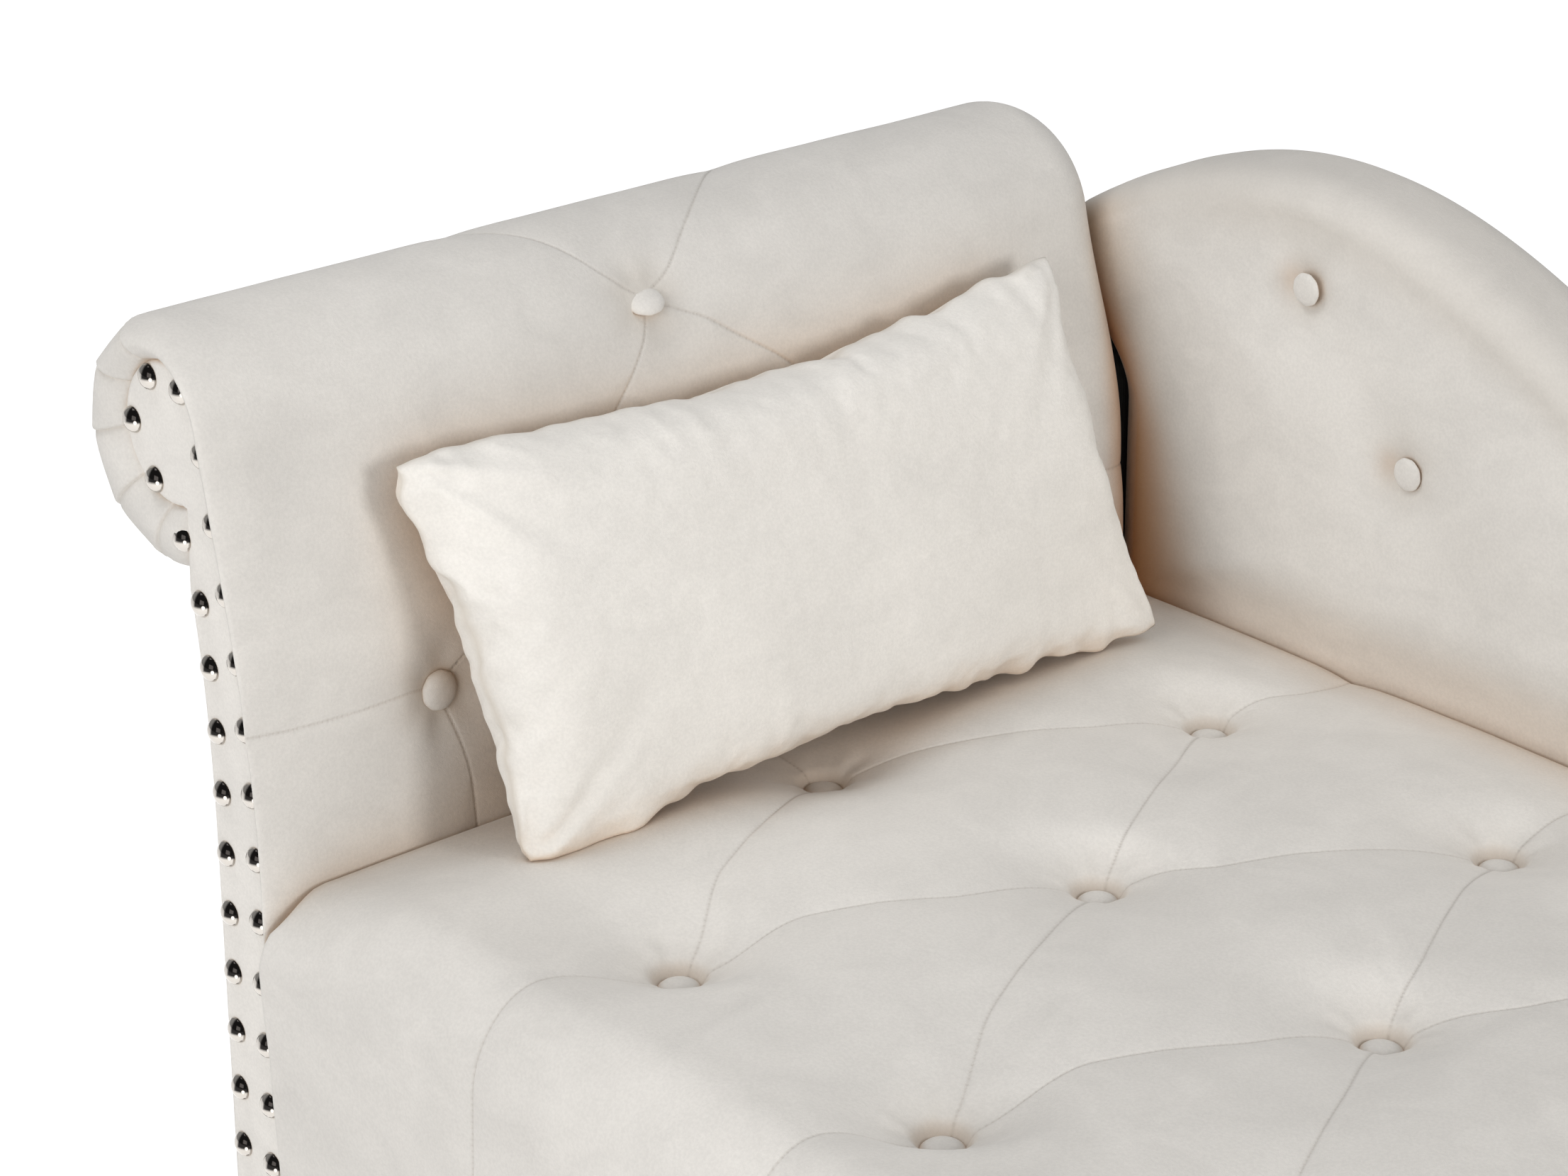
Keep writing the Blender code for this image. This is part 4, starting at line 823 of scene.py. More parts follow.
def near_seat_work(u, v, reach):
    """Where the seat's seams and buttons need a finer mesh."""
    near, _ = nearest_line(u, v, seat_seams())
    for bx, by in seat_buttons():
        near = np.minimum(near, np.hypot(u - bx, v - by) - FINE_MESH_ROUND_BUTTON)
    return near < reach


class PieceStep:
    """What every step of the upholstery shares."""

    bl_options = {"REGISTER", "UNDO"}

    def execute(self, context):
        self.make(context.scene)
        return {"FINISHED"}


class CHAISE_OT_seat(PieceStep, bpy.types.Operator):
    """Sews the tufted seat cover over the base"""

    bl_idname = "chaise.seat"
    bl_label = "Seat Cover"

    def make(self, scene):
        wall = [SEAT_Z - LEG_HEIGHT + (math.pi / 2 - 2) * radius for radius in (EDGE_ROUND, JOIN_ROUND)]
        step, rounds = ((0.0066, (0.009, 0.0042, 0.0020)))
        us = stations(GAP - wall[1], SEAT_LENGTH + wall[0], step)
        vs = stations(SEAT_FRONT - wall[0], SEAT_BACK + wall[1], step)
        bm = refine(flat_grid(us, vs), near_seat_work, rounds)
        points, fields = seat_shape(*plan(bm))
        seat = dress("seat_upholstery", bm, place_on_part(points), finish_named("velvet"), fields)
        fit(seat, "ivory_velvet", "seat_cover")


def button_mesh(name, centre, axis, seed, high, radius):
    """A covered button: a padded dome, its cloth gathered under a soft rim."""
    bm = bmesh.new()
    lean = random.Random(seed).uniform(-0.05, 0.05)
    rings = []
    for share, rise in BUTTON_PROFILE:
        ring = []
        for i in range(BUTTON_SIDES):
            angle = 2 * math.pi * i / BUTTON_SIDES
            gather = 0.012 * math.sin(angle * 9 + seed) * max(0.0, share - 0.8) * 5
            out = radius * share * (1 + gather * (1 if rise < 0.6 else 0))
            up = high * rise * (1 + lean * math.cos(angle + seed))
            ring.append(bm.verts.new((out * math.cos(angle), out * math.sin(angle), up)))
        rings.append(ring)
    bridge(bm, rings[::-1])
    top = bm.verts.new((0.0, 0.0, high))
    low = bm.verts.new((0.0, 0.0, 0.0))
    for i in range(BUTTON_SIDES):
        after = (i + 1) % BUTTON_SIDES
        bm.faces.new((top, rings[0][i], rings[0][after]))
        bm.faces.new((low, rings[-1][after], rings[-1][i]))
    turn = Vector((0.0, 0.0, 1.0)).rotation_difference(Vector(axis)).to_matrix().to_4x4()
    bm.transform(Matrix.Translation(centre) @ turn)
    return dress(name, bm, None, finish_named("button"))


class CHAISE_OT_buttons(PieceStep, bpy.types.Operator):
    """Covers the buttons of the seat, the arm and the back"""

    bl_idname = "chaise.buttons"
    bl_label = "Covered Buttons"

    def make(self, scene):
        for i in range(len(seat_buttons())):
            self.cover(f"seat_button_{i + 1:02d}", (0.0, 0.0, 1.0), i, 0.0036, COVERED_BUTTON)
        for i, (_, length, _) in enumerate(arm_buttons()):
            _, _, side_x, side_z = arm_section([length])
            axis, sunk = ((side_x[0], 0.0, side_z[0]), 0.0030) if i else (HIGH_BUTTON_AXIS, 0.0046)
            self.cover(f"arm_button_{i + 1}", axis, ARM_BUTTON_SEED + i, sunk, COVERED_BUTTON)
        for i in range(len(BACK_BUTTONS)):
            self.cover(f"back_button_{i + 1}", (0.0, -1.0, 0.0), BACK_BUTTON_SEED + i, 0.0030, BACK_BUTTON)

    def cover(self, node, axis, seed, sunk, size):
        """One button in the middle of its solid's box, sunk a little into the velvet."""
        low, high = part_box(node)
        centre = (Vector(low) + Vector(high)) / 2 - Vector(axis).normalized() * sunk
        fit(button_mesh("covered_" + node, centre, axis, seed, *size), "ivory_velvet", node)


PLEATS = [math.radians(a) for a in (117, 151, 189, 228, 268)]
PLEAT_HEIGHT = 0.0026
# How much the pleats' creases are darkened: flattened pile and painted shade.
PLEAT_CRUSH_AND_SHADE = 0.35
# How far a pleat's fold reaches on its upper and its lower side
PLEAT_REACH = (0.006, 0.0012)
PLEAT_FADE = (0.012, 0.045)
ARM_TROUGH = 0.0018
FRONT_START = 0.030
FRONT_SPAN = 0.060
REAR_START = 0.052
REAR_SPAN = 0.105
REAR_ROUND = 0.0145
REAR_ROLL = 0.0240
REAR_CORE = (-0.100, 0.249, 0.030)
FRONT_PATH = ((1.0, 0.030), (1.0, 0.022), (0.995, 0.0150), (0.97, 0.0090), (0.90, 0.0030))
FRONT_PATH += ((0.78, -0.0015), (0.60, -0.0042), (0.40, -0.0046), (0.22, -0.0030), (0.08, 0.0))
FRONT_PATH += ((0.0, 0.0030), (-0.03, 0.0075))


def front_path(share):
    """Depth into the section and place along the arm of the cloth that rounds the arm's front."""
    steps = np.linspace(0.0, 1.0, len(FRONT_PATH))
    return [np.interp(share, steps, values) for values in zip(*FRONT_PATH)]


def arm_inner(length, inset, core=(-CORE_OUT, CORE_UP, CORE_RADIUS)):
    """Points of the arm's section where the cover ends against the facing."""
    x, z, side_x, side_z = arm_section(length)
    roll = length > ROLL_RIM_UP
    angle = ROLL_START + (length - ROLL_RIM_UP) / ROLL_RADIUS
    share = smooth((length - CORE_BLEND) / (ROLL_RIM_UP - CORE_BLEND))
    middle_x, middle_z, radius = core
    core_x = middle_x + radius * math.cos(ROLL_START)
    core_z = middle_z + radius * math.sin(ROLL_START)
    rim_x = -ROLL_OUT + ROLL_RADIUS * math.cos(ROLL_START)
    keep = inset * (1 - share)
    flat_x = x - side_x * keep + share * (core_x - rim_x)
    flat_z = z - side_z * keep + share * (core_z - ROLL_RIM_UP)
    round_x = middle_x + radius * np.cos(angle)
    round_z = middle_z + radius * np.sin(angle)
    return np.where(roll, round_x, flat_x), np.where(roll, round_z, flat_z)


TOP_SEAMS = (
    ((0, 0), (-0.015, 0.013), (-0.030, 0.029), (-0.048, 0.059), (-0.066, 0.083), (-0.084, 0.110)),
    ((0, 0), (0.022, 0.011), (0.036, 0.025), (0.055, 0.042), (0.075, 0.059), (0.104, 0.085), (0.129, 0.107)),
    ((0, 0), (0.022, -0.014), (0.041, -0.023), (0.059, -0.036), (0.078, -0.048), (0.096, -0.060))
    + ((0.124, -0.085), (0.159, -0.135), (0.184, -0.198)),
    ((0, 0), (-0.005, -0.022), (-0.015, -0.036), (-0.031, -0.054), (-0.061, -0.085), (-0.111, -0.130))
    + ((-0.184, -0.198),),
)
LOW_SEAMS = (
    ((0, 0), (-0.016, 0.005), (-0.047, 0.006), (-0.102, 0.008), (-0.144, 0.0135)),
    ((0, 0), (0.005, -0.016), (0.012, -0.042), (0.015, -0.064), (0.020, -0.137)),
)
HIGH_SEAMS = (((0, 0), (0.235, 0.0)), ((0, 0), (-0.034, -0.137)))


def rounded_path(points, rounds=2):
    """A path with its corners cut again and again until it reads as a curve."""
    for _ in range(rounds):
        cut = [points[0]]
        for (ax, ay), (bx, by) in zip(points, points[1:]):
            cut.append((0.75 * ax + 0.25 * bx, 0.75 * ay + 0.25 * by))
            cut.append((0.25 * ax + 0.75 * bx, 0.25 * ay + 0.75 * by))
        points = cut + [points[-1]]
    return points


def arm_seams():
    """The arm's sewn lines, curving from button to button and out to its edges."""
    lines = []
    for (along, length, _), paths in zip(arm_buttons(), (TOP_SEAMS, LOW_SEAMS, HIGH_SEAMS)):
        for path in paths:
            points = rounded_path([(along + x, length + y) for x, y in path])
            lines += list(zip(points, points[1:]))
    return lines


def arm_relief(u, v):
    """How far the arm's padding is drawn in by its buttons and seams, where it is darkened round its buttons
    for flattened pile and painted shade, and where it is sewn.
    """
    tufting = bpy.context.scene.chaise_tufting
    drop, drawn, fold = (np.zeros(u.shape) for _ in range(3))
    for i, (along, length, depth) in enumerate(arm_buttons()):
        pull = dip(np.hypot(u - along, v - length), 0.0125, 0.031, 1.3)
        drop = np.maximum(drop, depth * pull)
        drawn = np.maximum(drawn, np.clip(pull * 1.2 - 0.45, 0.0, 1.0) ** 1.6)
        fold = fold + gathers(u, v, (along, length), 0.024, 0.012, (6, i * 2.4, 1.0))
    near, run = nearest_line(u, v, arm_seams())
    trough = dip(near, 0.0, 0.012, 1.3)
    soft = uneven(u, v, (0.14, 5, 0.0008), (0.05, 6, 0.0003))
    groove = bell(near, tufting.stitch_width)
    drop = np.maximum(drop, ARM_TROUGH * trough) + GROOVE_DEPTH * groove - FOLD_HEIGHT * fold - soft
    return drop, drawn, bell(near, tufting.stitch_width * 0.9), run


def roll_pleats(angle):
    """How flat the roll's cloth is pulled between its pleats, and how close each point is to a pleat."""
    facet, crease = np.zeros(angle.shape), np.zeros(angle.shape)
    for low, high in zip(PLEATS, PLEATS[1:]):
        inside = (angle >= low) & (angle <= high)
        middle, half = (low + high) / 2, (high - low) / 2
        flat = 1 - math.cos(half) / np.cos(np.clip(angle - middle, -half, half))
        facet = np.where(inside, np.maximum(0.0, flat) * ROLL_RADIUS, facet)
    after, before = PLEAT_REACH
    for at in PLEATS:
        gap = (angle - at) * ROLL_RADIUS
        crease = np.maximum(crease, np.where(gap > 0, np.exp(-gap / after), np.exp(gap / before)))
    return facet, crease


def arm_shape(u, v):
    """Points of the arm's cover: u along the arm, v up its face and round the roll."""
    length = np.minimum(v, section_length(ROLL_END))
    x, z, side_x, side_z = arm_section(length)
    drop, drawn, sewn, run = arm_relief(u, v)
    facet, crease = roll_pleats(ROLL_START + (v - ROLL_RIM_UP) / ROLL_RADIUS)
    roll_turn = np.clip((v - ROLL_RIM_UP) / (ROLL_RADIUS * 1.2), 0.0, 1.0)
    fade = np.maximum(0.0, u - PLEAT_FADE[0]) / PLEAT_FADE[1]
    drop = drop + facet * np.clip(1 - fade, 0.0, 1.0) ** 2
    out_x, out_z = x - side_x * drop, z - side_z * drop

    at_front = u < FRONT_START
    share = np.clip((FRONT_START - u) / FRONT_SPAN, 0.0, 1.0)
    depth, front = front_path(share)
    slope = (0.0044 + 0.0010 * roll_turn) * depth * smooth(share * 2.5)
    hump = np.sin(math.pi * np.clip((share - 0.30) / 0.62, 0.0, 1.0)) ** 2
    proud = (0.0040 + 0.0045 * smooth(v / 0.22)) * (1 - 0.70 * roll_turn) * hump
    pleat = PLEAT_HEIGHT * crease * np.sin(share * math.pi) ** 0.5
    along = np.where(at_front, front + slope + pleat - proud, u)

    turned_in = REAR_ROUND + REAR_ROLL * smooth((v - 0.12) / 0.14)
    start = ARM_LENGTH - 0.0015 - turned_in
    at_rear = u > start
    rear = np.clip(u - start, 0.0, 1.0)
    arc = np.clip(rear / turned_in, 0.0, math.pi / 2)
    back_in = turned_in * (1 - np.cos(arc)) + np.maximum(0.0, rear - turned_in * math.pi / 2)
    in_x, in_z = np.where(at_rear, arm_inner(length, REAR_ROUND, REAR_CORE), arm_inner(length, FACING_INSET))
    reach = np.hypot(in_x - out_x, in_z - out_z)
    depth = np.where(at_rear, 1 - np.minimum(back_in / np.maximum(reach, 0.006), 1.02), depth)
    along = np.where(at_rear, start + turned_in * np.sin(arc), along)
    tuck = np.maximum(0.0, v - section_length(ROLL_END))
    held = smooth(share * 3)
    px = in_x + (out_x - in_x) * depth + tuck * (0.6 * held - side_x * (1 - held))
    pz = in_z + (out_z - in_z) * depth - side_z * tuck * (1 - held)
    points = np.stack([px, along + 0.5 * tuck * held, SEAT_Z + pz], axis=1)
    # Flattened pile and painted shade in the creases of the pleats at the front, and painted shade low on the
    # cover near the rear end by the open corner.
    crush_and_shade = np.where(at_front, np.clip(crease * PLEAT_CRUSH_AND_SHADE, 0.0, 1.0), 0.0)
    behind = bell(np.maximum(0.0, ARM_LENGTH - 0.012 - u), 0.010) * smooth((0.22 - v) / 0.08)
    fields = {"sewn": sewn * (share < 0.6), "run": run}
    return points, {**fields, "drawn": np.maximum(drawn, crush_and_shade), "painted_shade": 0.45 * behind}


def near_arm_work(u, v, reach):
    """Where the arm's seams, buttons and pleats need a finer mesh."""
    near, _ = nearest_line(u, v, arm_seams())
    for along, length, _ in arm_buttons():
        near = np.minimum(near, np.hypot(u - along, v - length) - 0.028)
    angle = ROLL_START + (v - ROLL_RIM_UP) / ROLL_RADIUS
    for at in PLEATS:
        side = np.abs(angle - at) * ROLL_RADIUS + np.maximum(0.0, u - FRONT_START) * 4
        near = np.minimum(near, side - 0.003)
    return near < reach


class CHAISE_OT_arm(PieceStep, bpy.types.Operator):
    """Pads the arm's inner face and its roll, with pleats round the roll's head"""

    bl_idname = "chaise.arm"
    bl_label = "Arm Cover"

    def make(self, scene):
        step = 0.006
        rear = ARM_LENGTH - REAR_START
        us = stations(FRONT_START - FRONT_SPAN, FRONT_START, 0.0035)[:-1]
        us += stations(FRONT_START, rear, step) + stations(rear, rear + REAR_SPAN, 0.0035)[1:]
        vs = stations(-0.050, section_length(ROLL_END), step)
        vs += [vs[-1] + extra for extra in (0.004, 0.012, 0.022)]
        bm = refine(flat_grid(us, vs), near_arm_work, (0.008, 0.0040, 0.0018))
        points, fields = arm_shape(*plan(bm))
        arm = dress("arm_upholstery", bm, place_on_part(points), finish_named("velvet"), fields)
        fit(arm, "ivory_velvet", "arm_pad")


def fill_ring(bm, ring):
    """Closes a flat ring of points, however it bends."""
    flat = [Vector((vert.co.x, vert.co.z)) for vert in ring]
    spots, _, faces = delaunay_2d_cdt(flat, [], [list(range(len(flat)))], 1, 0.0000001)[:3]
    placed = [bm.verts.new((spot.x, ring[0].co.y, spot.y)) for spot in spots]
    for face in faces:
        bm.faces.new([placed[i] for i in face])


def outline_cover(name, outline, y_low, y_high, finish, round_edge=0.004):
    """A flat covered piece: a smooth outline whose outer edge is rounded."""
    outline = np.array(outline)
    after = np.roll(outline, -1, axis=0)
    edge = after - np.roll(outline, 1, axis=0)
    normal = np.stack([edge[:, 1], -edge[:, 0]], axis=1)
    normal /= np.maximum(np.linalg.norm(normal, axis=1, keepdims=True), 1e-9)
    if np.sum(outline[:, 0] * after[:, 1] - after[:, 0] * outline[:, 1]) < 0:
        normal = -normal
    layers = [(0.0, y_high)]
    for turn in spread(0.0, math.pi / 2, 5):
        layers.append((round_edge * (1 - math.cos(turn)), y_low + round_edge * (1 - math.sin(turn))))
    layers.append((round_edge + 0.0008, y_low))
    bm = bmesh.new()
    rings = []
    for inset, y in layers:
        spots = [place_on_part((x, y, z)).tolist() for x, z in outline - normal * inset]
        rings.append([bm.verts.new(spot) for spot in spots])
    bridge(bm, rings)
    fill_ring(bm, rings[-1])
    fill_ring(bm, rings[0])
    bmesh.ops.remove_doubles(bm, verts=bm.verts, dist=0.000002)
    bmesh.ops.recalc_face_normals(bm, faces=bm.faces)
    return dress(name, bm, None, finish)


def inner_edge(shift, *inner):
    """The arm's inner edge, up its face and round its roll."""
    lengths = np.array(stations(-0.045, section_length(ROLL_END), 0.006))
    x, z = arm_inner(lengths, *inner)
    return list(zip(x + shift, SEAT_Z + z))


def outer_edge(inset=0.0):
    """The arm's outer edge, from the roll's neck down to the base's lower edge."""
    ups = [(ROLL_NECK_UP - GAP) * share for share in spread(0.97, 0.0, 14)]
    return [(float(outer_x(up)) + inset, SEAT_Z + up) for up in ups] + [(-ARM_WIDTH + inset, LEG_HEIGHT)]


def facing_outline():
    """The facing's edge: up the inner face, round the head and down the outer side."""
    return [(-0.0015, LEG_HEIGHT)] + inner_edge(-GAP, FACING_INSET) + outer_edge()


class CHAISE_OT_facing(PieceStep, bpy.types.Operator):
    """Covers the arm's front facing"""

    bl_idname = "chaise.facing"
    bl_label = "Arm Facing"

    def make(self, scene):
        finish = finish_named("facing")
        facing = outline_cover("arm_facing_cover", facing_outline(), 0.0, FASCIA_THICKNESS, finish)
        fit(facing, "ivory_velvet", "arm_front_facing")


NAIL_SIDES = 28
NAIL_PROFILE = ((0.2, 0.975), (0.4, 0.90), (0.58, 0.78), (0.74, 0.62), (0.87, 0.42))
NAIL_PROFILE += ((0.955, 0.22), (1.0, 0.06), (1.0, 0.0))
SIDE_FRONT = 0.0121
SIDE_REAR = ARM_LENGTH - 0.0072
SIDE_PAD = 0.0030


def nail_paths():
    """The strung paths of the outer and the inner row of nails."""
    outer = [core_point(a, NAIL_ARC_RADIUS) for a in spread(math.radians(116), math.radians(245), 12)]
    outer.append(NAIL_NECK)
    outer += [(float(outer_x(up)) + NAIL_OUTER_INSET, up) for up in NAIL_OUTER_UPS]
    inner = [core_point(a, NAIL_ARC_RADIUS) for a in spread(math.radians(62), math.radians(-4), 6)]
    for up in NAIL_INNER_UPS:
        inner.append((float(arm_inner(np.array([up]), FACING_INSET)[0][0]) - NAIL_INNER_INSET, up))
    return outer, inner


def along_path(path, pitch):
    """Places a pitch apart along a path, the first at its start."""
    placed = [path[0]]
    left = pitch
    for (ax, az), (bx, bz) in zip(path, path[1:]):
        length = math.hypot(bx - ax, bz - az)
        done = 0.0
        while length - done >= left:
            done += left
            placed.append((ax + (bx - ax) * done / length, az + (bz - az) * done / length))
            left = pitch
        left -= length - done
    return placed


def nail_row(name, node, path, pitch):
    """Domed nail heads along a path."""
    nails = bpy.context.scene.chaise_nails
    profile = [(share * nails.radius, rise * nails.height) for share, rise in NAIL_PROFILE]
    bm = bmesh.new()
    for x, up in along_path(path, pitch):
        spot = HEAD_FRONT + Vector((x, -GAP, SEAT_Z + up))
        rings = turned(bm, spot, profile, lambda right, above, out: (right, -out, above), NAIL_SIDES)
        top = bm.verts.new(spot + Vector((0.0, -nails.height, 0.0)))
        for i in range(NAIL_SIDES):
            bm.faces.new((top, rings[0][(i + 1) % NAIL_SIDES], rings[0][i]))
        bm.faces.new(rings[-1])
    bmesh.ops.recalc_face_normals(bm, faces=bm.faces)
    fit(dress(name, bm, None, finish_named("nickel")), "polished_nickel", node)


class CHAISE_OT_nails(PieceStep, bpy.types.Operator):
    """Drives the two rows of decorative nails"""

    bl_idname = "chaise.nails"
    bl_label = "Nail Rows"

    def make(self, scene):
        outer, inner = nail_paths()
        nail_row("outer_nails", "outer_nail_row", outer, NAIL_PITCH)
        nail_row("inner_nails", "inner_nail_row", inner, NAIL_INNER_PITCH)


class CHAISE_OT_arm_sides(PieceStep, bpy.types.Operator):
    """Covers the arm's outer side and its rear end"""

    bl_idname = "chaise.arm_sides"
    bl_label = "Arm Sides"

    def make(self, scene):
        low, high = LEG_HEIGHT - SEAT_Z, ROLL_NECK_UP
        bm = flat_grid(stations(SIDE_FRONT, SIDE_REAR, 0.010), stations(low, high - 0.001, 0.008))
        u, v = plan(bm)
        edge = np.minimum(np.minimum(u - SIDE_FRONT, SIDE_REAR - u), v - low)
        pad = SIDE_PAD * (1 - np.exp(-np.maximum(0.0, edge) / 0.012))
        pad = pad * smooth((high - v) / 0.05) + uneven(u, v, (0.12, 9, 0.0005))
        points = np.stack([outer_x(v) + SIDE_PAD - pad, u, SEAT_Z + v], axis=1)
        bmesh.ops.reverse_faces(bm, faces=bm.faces)
        side = dress("arm_outer_cover", bm, place_on_part(points), finish_named("velvet"), thick=0.004)
        fit(side, "covered_board", "arm_outer_panel")
        outline = [(-0.0006, LEG_HEIGHT), (-0.0006, SEAT_Z - 0.052)]
        outline += inner_edge(0.001, REAR_ROUND, REAR_CORE) + outer_edge(0.002)
        cover = outline_cover("arm_rear_cover", outline, 0.0, 0.0065, finish_named("velvet"))
        turn_round(cover, ARM_LENGTH - 0.0004)
        fit(cover, "ivory_velvet")


BACK_FOLD = 0.0006
BACK_CROWN = 0.012
BACK_VALLEY = 0.0018
BACK_MOST = 0.0125
BACK_SKIN = 0.014
# (up, width, start) of the painted shadow on the back beside the open corner
CORNER_SHADE = ((0.0, 0.062, -0.014), (0.06, 0.046, -0.014), (0.11, 0.032, -0.016))
CORNER_SHADE += ((0.16, 0.021, -0.028), (0.20, 0.013, -0.042), (0.24, 0.006, -0.052))
# (depth behind the face, share of the rounding) of the back pad's edge, from the rear to the face
BACK_LAYERS = [(0.0795, 0.62), (0.0785, 0.45), (0.0730, 0.16), (0.0660, 0.04), (0.0560, 0.0)]
BACK_LAYERS += [(0.0430, 0.0), (0.0300, 0.0), (0.0225, 0.03), (0.0165, 0.09), (0.0115, 0.18)]
BACK_LAYERS += [(0.0070, 0.31), (0.0035, 0.48), (0.0012, 0.68), (0.0, 0.90)]


def turn_round(obj, y):
    """Turns a flat covered piece to face the back, its outer side at y."""
    for vert in obj.data.vertices:
        vert.co.y = HEAD_FRONT.y + y - (vert.co.y - HEAD_FRONT.y)
    obj.data.flip_normals()


def back_edge(across, rises, shrink):
    """Points of the back's outline at places across it and shares of its height."""
    across, rises = np.broadcast_arrays(np.array(across, float), np.array(rises, float))
    x, up = back_point(across, rises, -BACK_TUCK, shrink)
    return list(zip(x.tolist(), (SEAT_Z + up).tolist()))


class CHAISE_OT_back(PieceStep, bpy.types.Operator):
    """Pads the part back and covers its rear"""

    bl_idname = "chaise.back"
    bl_label = "Part Back"

    def make(self, scene):
        step = 0.0055
        across = stations(0.0, 1.0, step)
        rises = [0.0, 0.08] + stations(BACK_HIDDEN, 1.0, step * 2.6)
        bm = flat_grid(across, rises)
        a, rise = plan(bm)
        points, drawn, painted_shade = self.face(a, rise, scene.chaise_tufting.back_tuft)
        bm.verts.ensure_lookup_table()
        for vert, point in zip(bm.verts, place_on_part(points).tolist()):
            vert.co = point
        n, m = len(across), len(rises)
        rim = [row * n for row in range(m)] + [(m - 1) * n + i for i in range(1, n)]
        rim += [row * n + n - 1 for row in range(m - 2, -1, -1)]
        previous = [bm.verts[i] for i in rim]
        # The rounded edge's rings carry painted shade: the drawn field at 0.4 and the painted shadow, fading
        # ring by ring.
        rim_shade = painted_shade[rim] * 0.55
        for y, draw in reversed(BACK_LAYERS[:-1]):
            x, up = back_point(a[rim], rise[rim], -BACK_TUCK, draw * BACK_ROUND * 0.9)
            spots = place_on_part(np.stack([x, np.full(x.shape, BACK_FACE + y), SEAT_Z + up], axis=1))
            ring = [bm.verts.new(spot) for spot in spots.tolist()]
            drawn = np.append(drawn, np.full(len(ring), 0.4))
            painted_shade = np.append(painted_shade, rim_shade)
            rim_shade = rim_shade * 0.25
            for i in range(len(ring) - 1):
                bm.faces.new((previous[i], previous[i + 1], ring[i + 1], ring[i]))
            previous = ring
        bmesh.ops.recalc_face_normals(bm, faces=bm.faces)
        zeros = np.zeros(len(drawn))
        fields = {"sewn": zeros, "run": zeros, "drawn": drawn, "painted_shade": painted_shade}
        back = dress("back_upholstery", bm, None, finish_named("velvet"), fields)
        fit(back, "ivory_velvet", "back_pad")
        self.rear()

    def face(self, a, rise, depth):
        """Points of the padded face, where its velvet is darkened for flattened pile and painted shade, and
        where a painted shadow lies on it.
        """
        x, up = back_point(a, rise, -BACK_TUCK, 0.9 * BACK_ROUND * 0.9)
        inner = np.minimum(np.minimum(a / 0.16, (1 - a) / 0.16), (1 - rise) / 0.42)
        inner = np.clip(np.minimum(inner, (up - BACK_SHOWS) / 0.060), 0.0, 1.0)
        pull, fold = np.zeros(a.shape), np.zeros(a.shape)
        # Painted shadow beside the open corner by the arm, wider towards the seat.
        ups, widths, starts = zip(*CORNER_SHADE)
        start = np.interp(up, ups, starts)
        painted_shade = bell(np.maximum(0.0, x - start), np.interp(up, ups, widths))
        painted_shade = 0.92 * painted_shade * smooth((0.25 - up) / 0.09)
        for i, (bx, button_up) in enumerate(BACK_BUTTONS):
            away = np.hypot(x - bx + 0.0045, up - button_up)
            pull = np.maximum(pull, dip(away, BUTTON_FLAT, 0.030, 1.25))
            angle = np.arctan2(up - button_up, x - bx)
            fold = fold + bell(away - 0.022, 0.011) * np.sin(angle * 5 + i * 2.0)
            # Painted shade on the left of each button.
            beside = np.hypot((x - bx + 0.0165) / 0.0085, (up - button_up - 0.002) / 0.010)
            painted_shade = np.maximum(painted_shade, 0.22 * bell(beside, 1.0))
        between, _ = along_line(x, up, *BACK_BUTTONS[:2])
        crown = BACK_CROWN * smooth(inner) - BACK_VALLEY * dip(between, 0.0, 0.020, 1.6)
        soft = uneven(x, up, (0.13, 12, 0.0009), (0.045, 13, 0.0003)) * inner
        y = np.maximum(BACK_FACE - crown + depth * pull - BACK_FOLD * fold + soft, BACK_FACE - BACK_MOST)
        # Flattened pile and painted shade round the buttons, and painted shade along the rounded top edge.
        drawn = np.clip(pull * 1.2 - 0.5, 0.0, 1.0) ** 1.6
        drawn = np.maximum(drawn, 0.4 * (1 - smooth((1 - rise) / 0.10)) * smooth(a / 0.1))
        return np.stack([x, y, SEAT_Z + up], axis=1), drawn, painted_shade

    def rear(self):
        """The covers of the back's rear and of its end beside the seat's foot."""
        wrap = BACK_SKIN + GAP
        outline = back_edge(0.0, spread(0.0, 0.97, 16), wrap) + back_edge(spread(0.0, 1.0, 90), 1.0, wrap)
        outline += [(outline[-1][0], LEG_HEIGHT), (outline[0][0], LEG_HEIGHT)]
        cover = outline_cover("back_rear_cover", outline, 0.0, 0.008, finish_named("velvet"))
        turn_round(cover, BACK_REAR)
        fit(cover, "ivory_velvet", "back_rear_panel")
        low, high = LEG_HEIGHT, SEAT_Z - BACK_TUCK
        near, far = BACK_LENGTH - wrap + GAP, BACK_LENGTH
        outline = [(near, low), (far, low), (far, high), (near, high)]
        depth = (BACK_FACE, BACK_REAR - 0.0004)
        fit(outline_cover("back_foot_cover", outline, *depth, finish_named("velvet"), 0.003), "ivory_velvet")


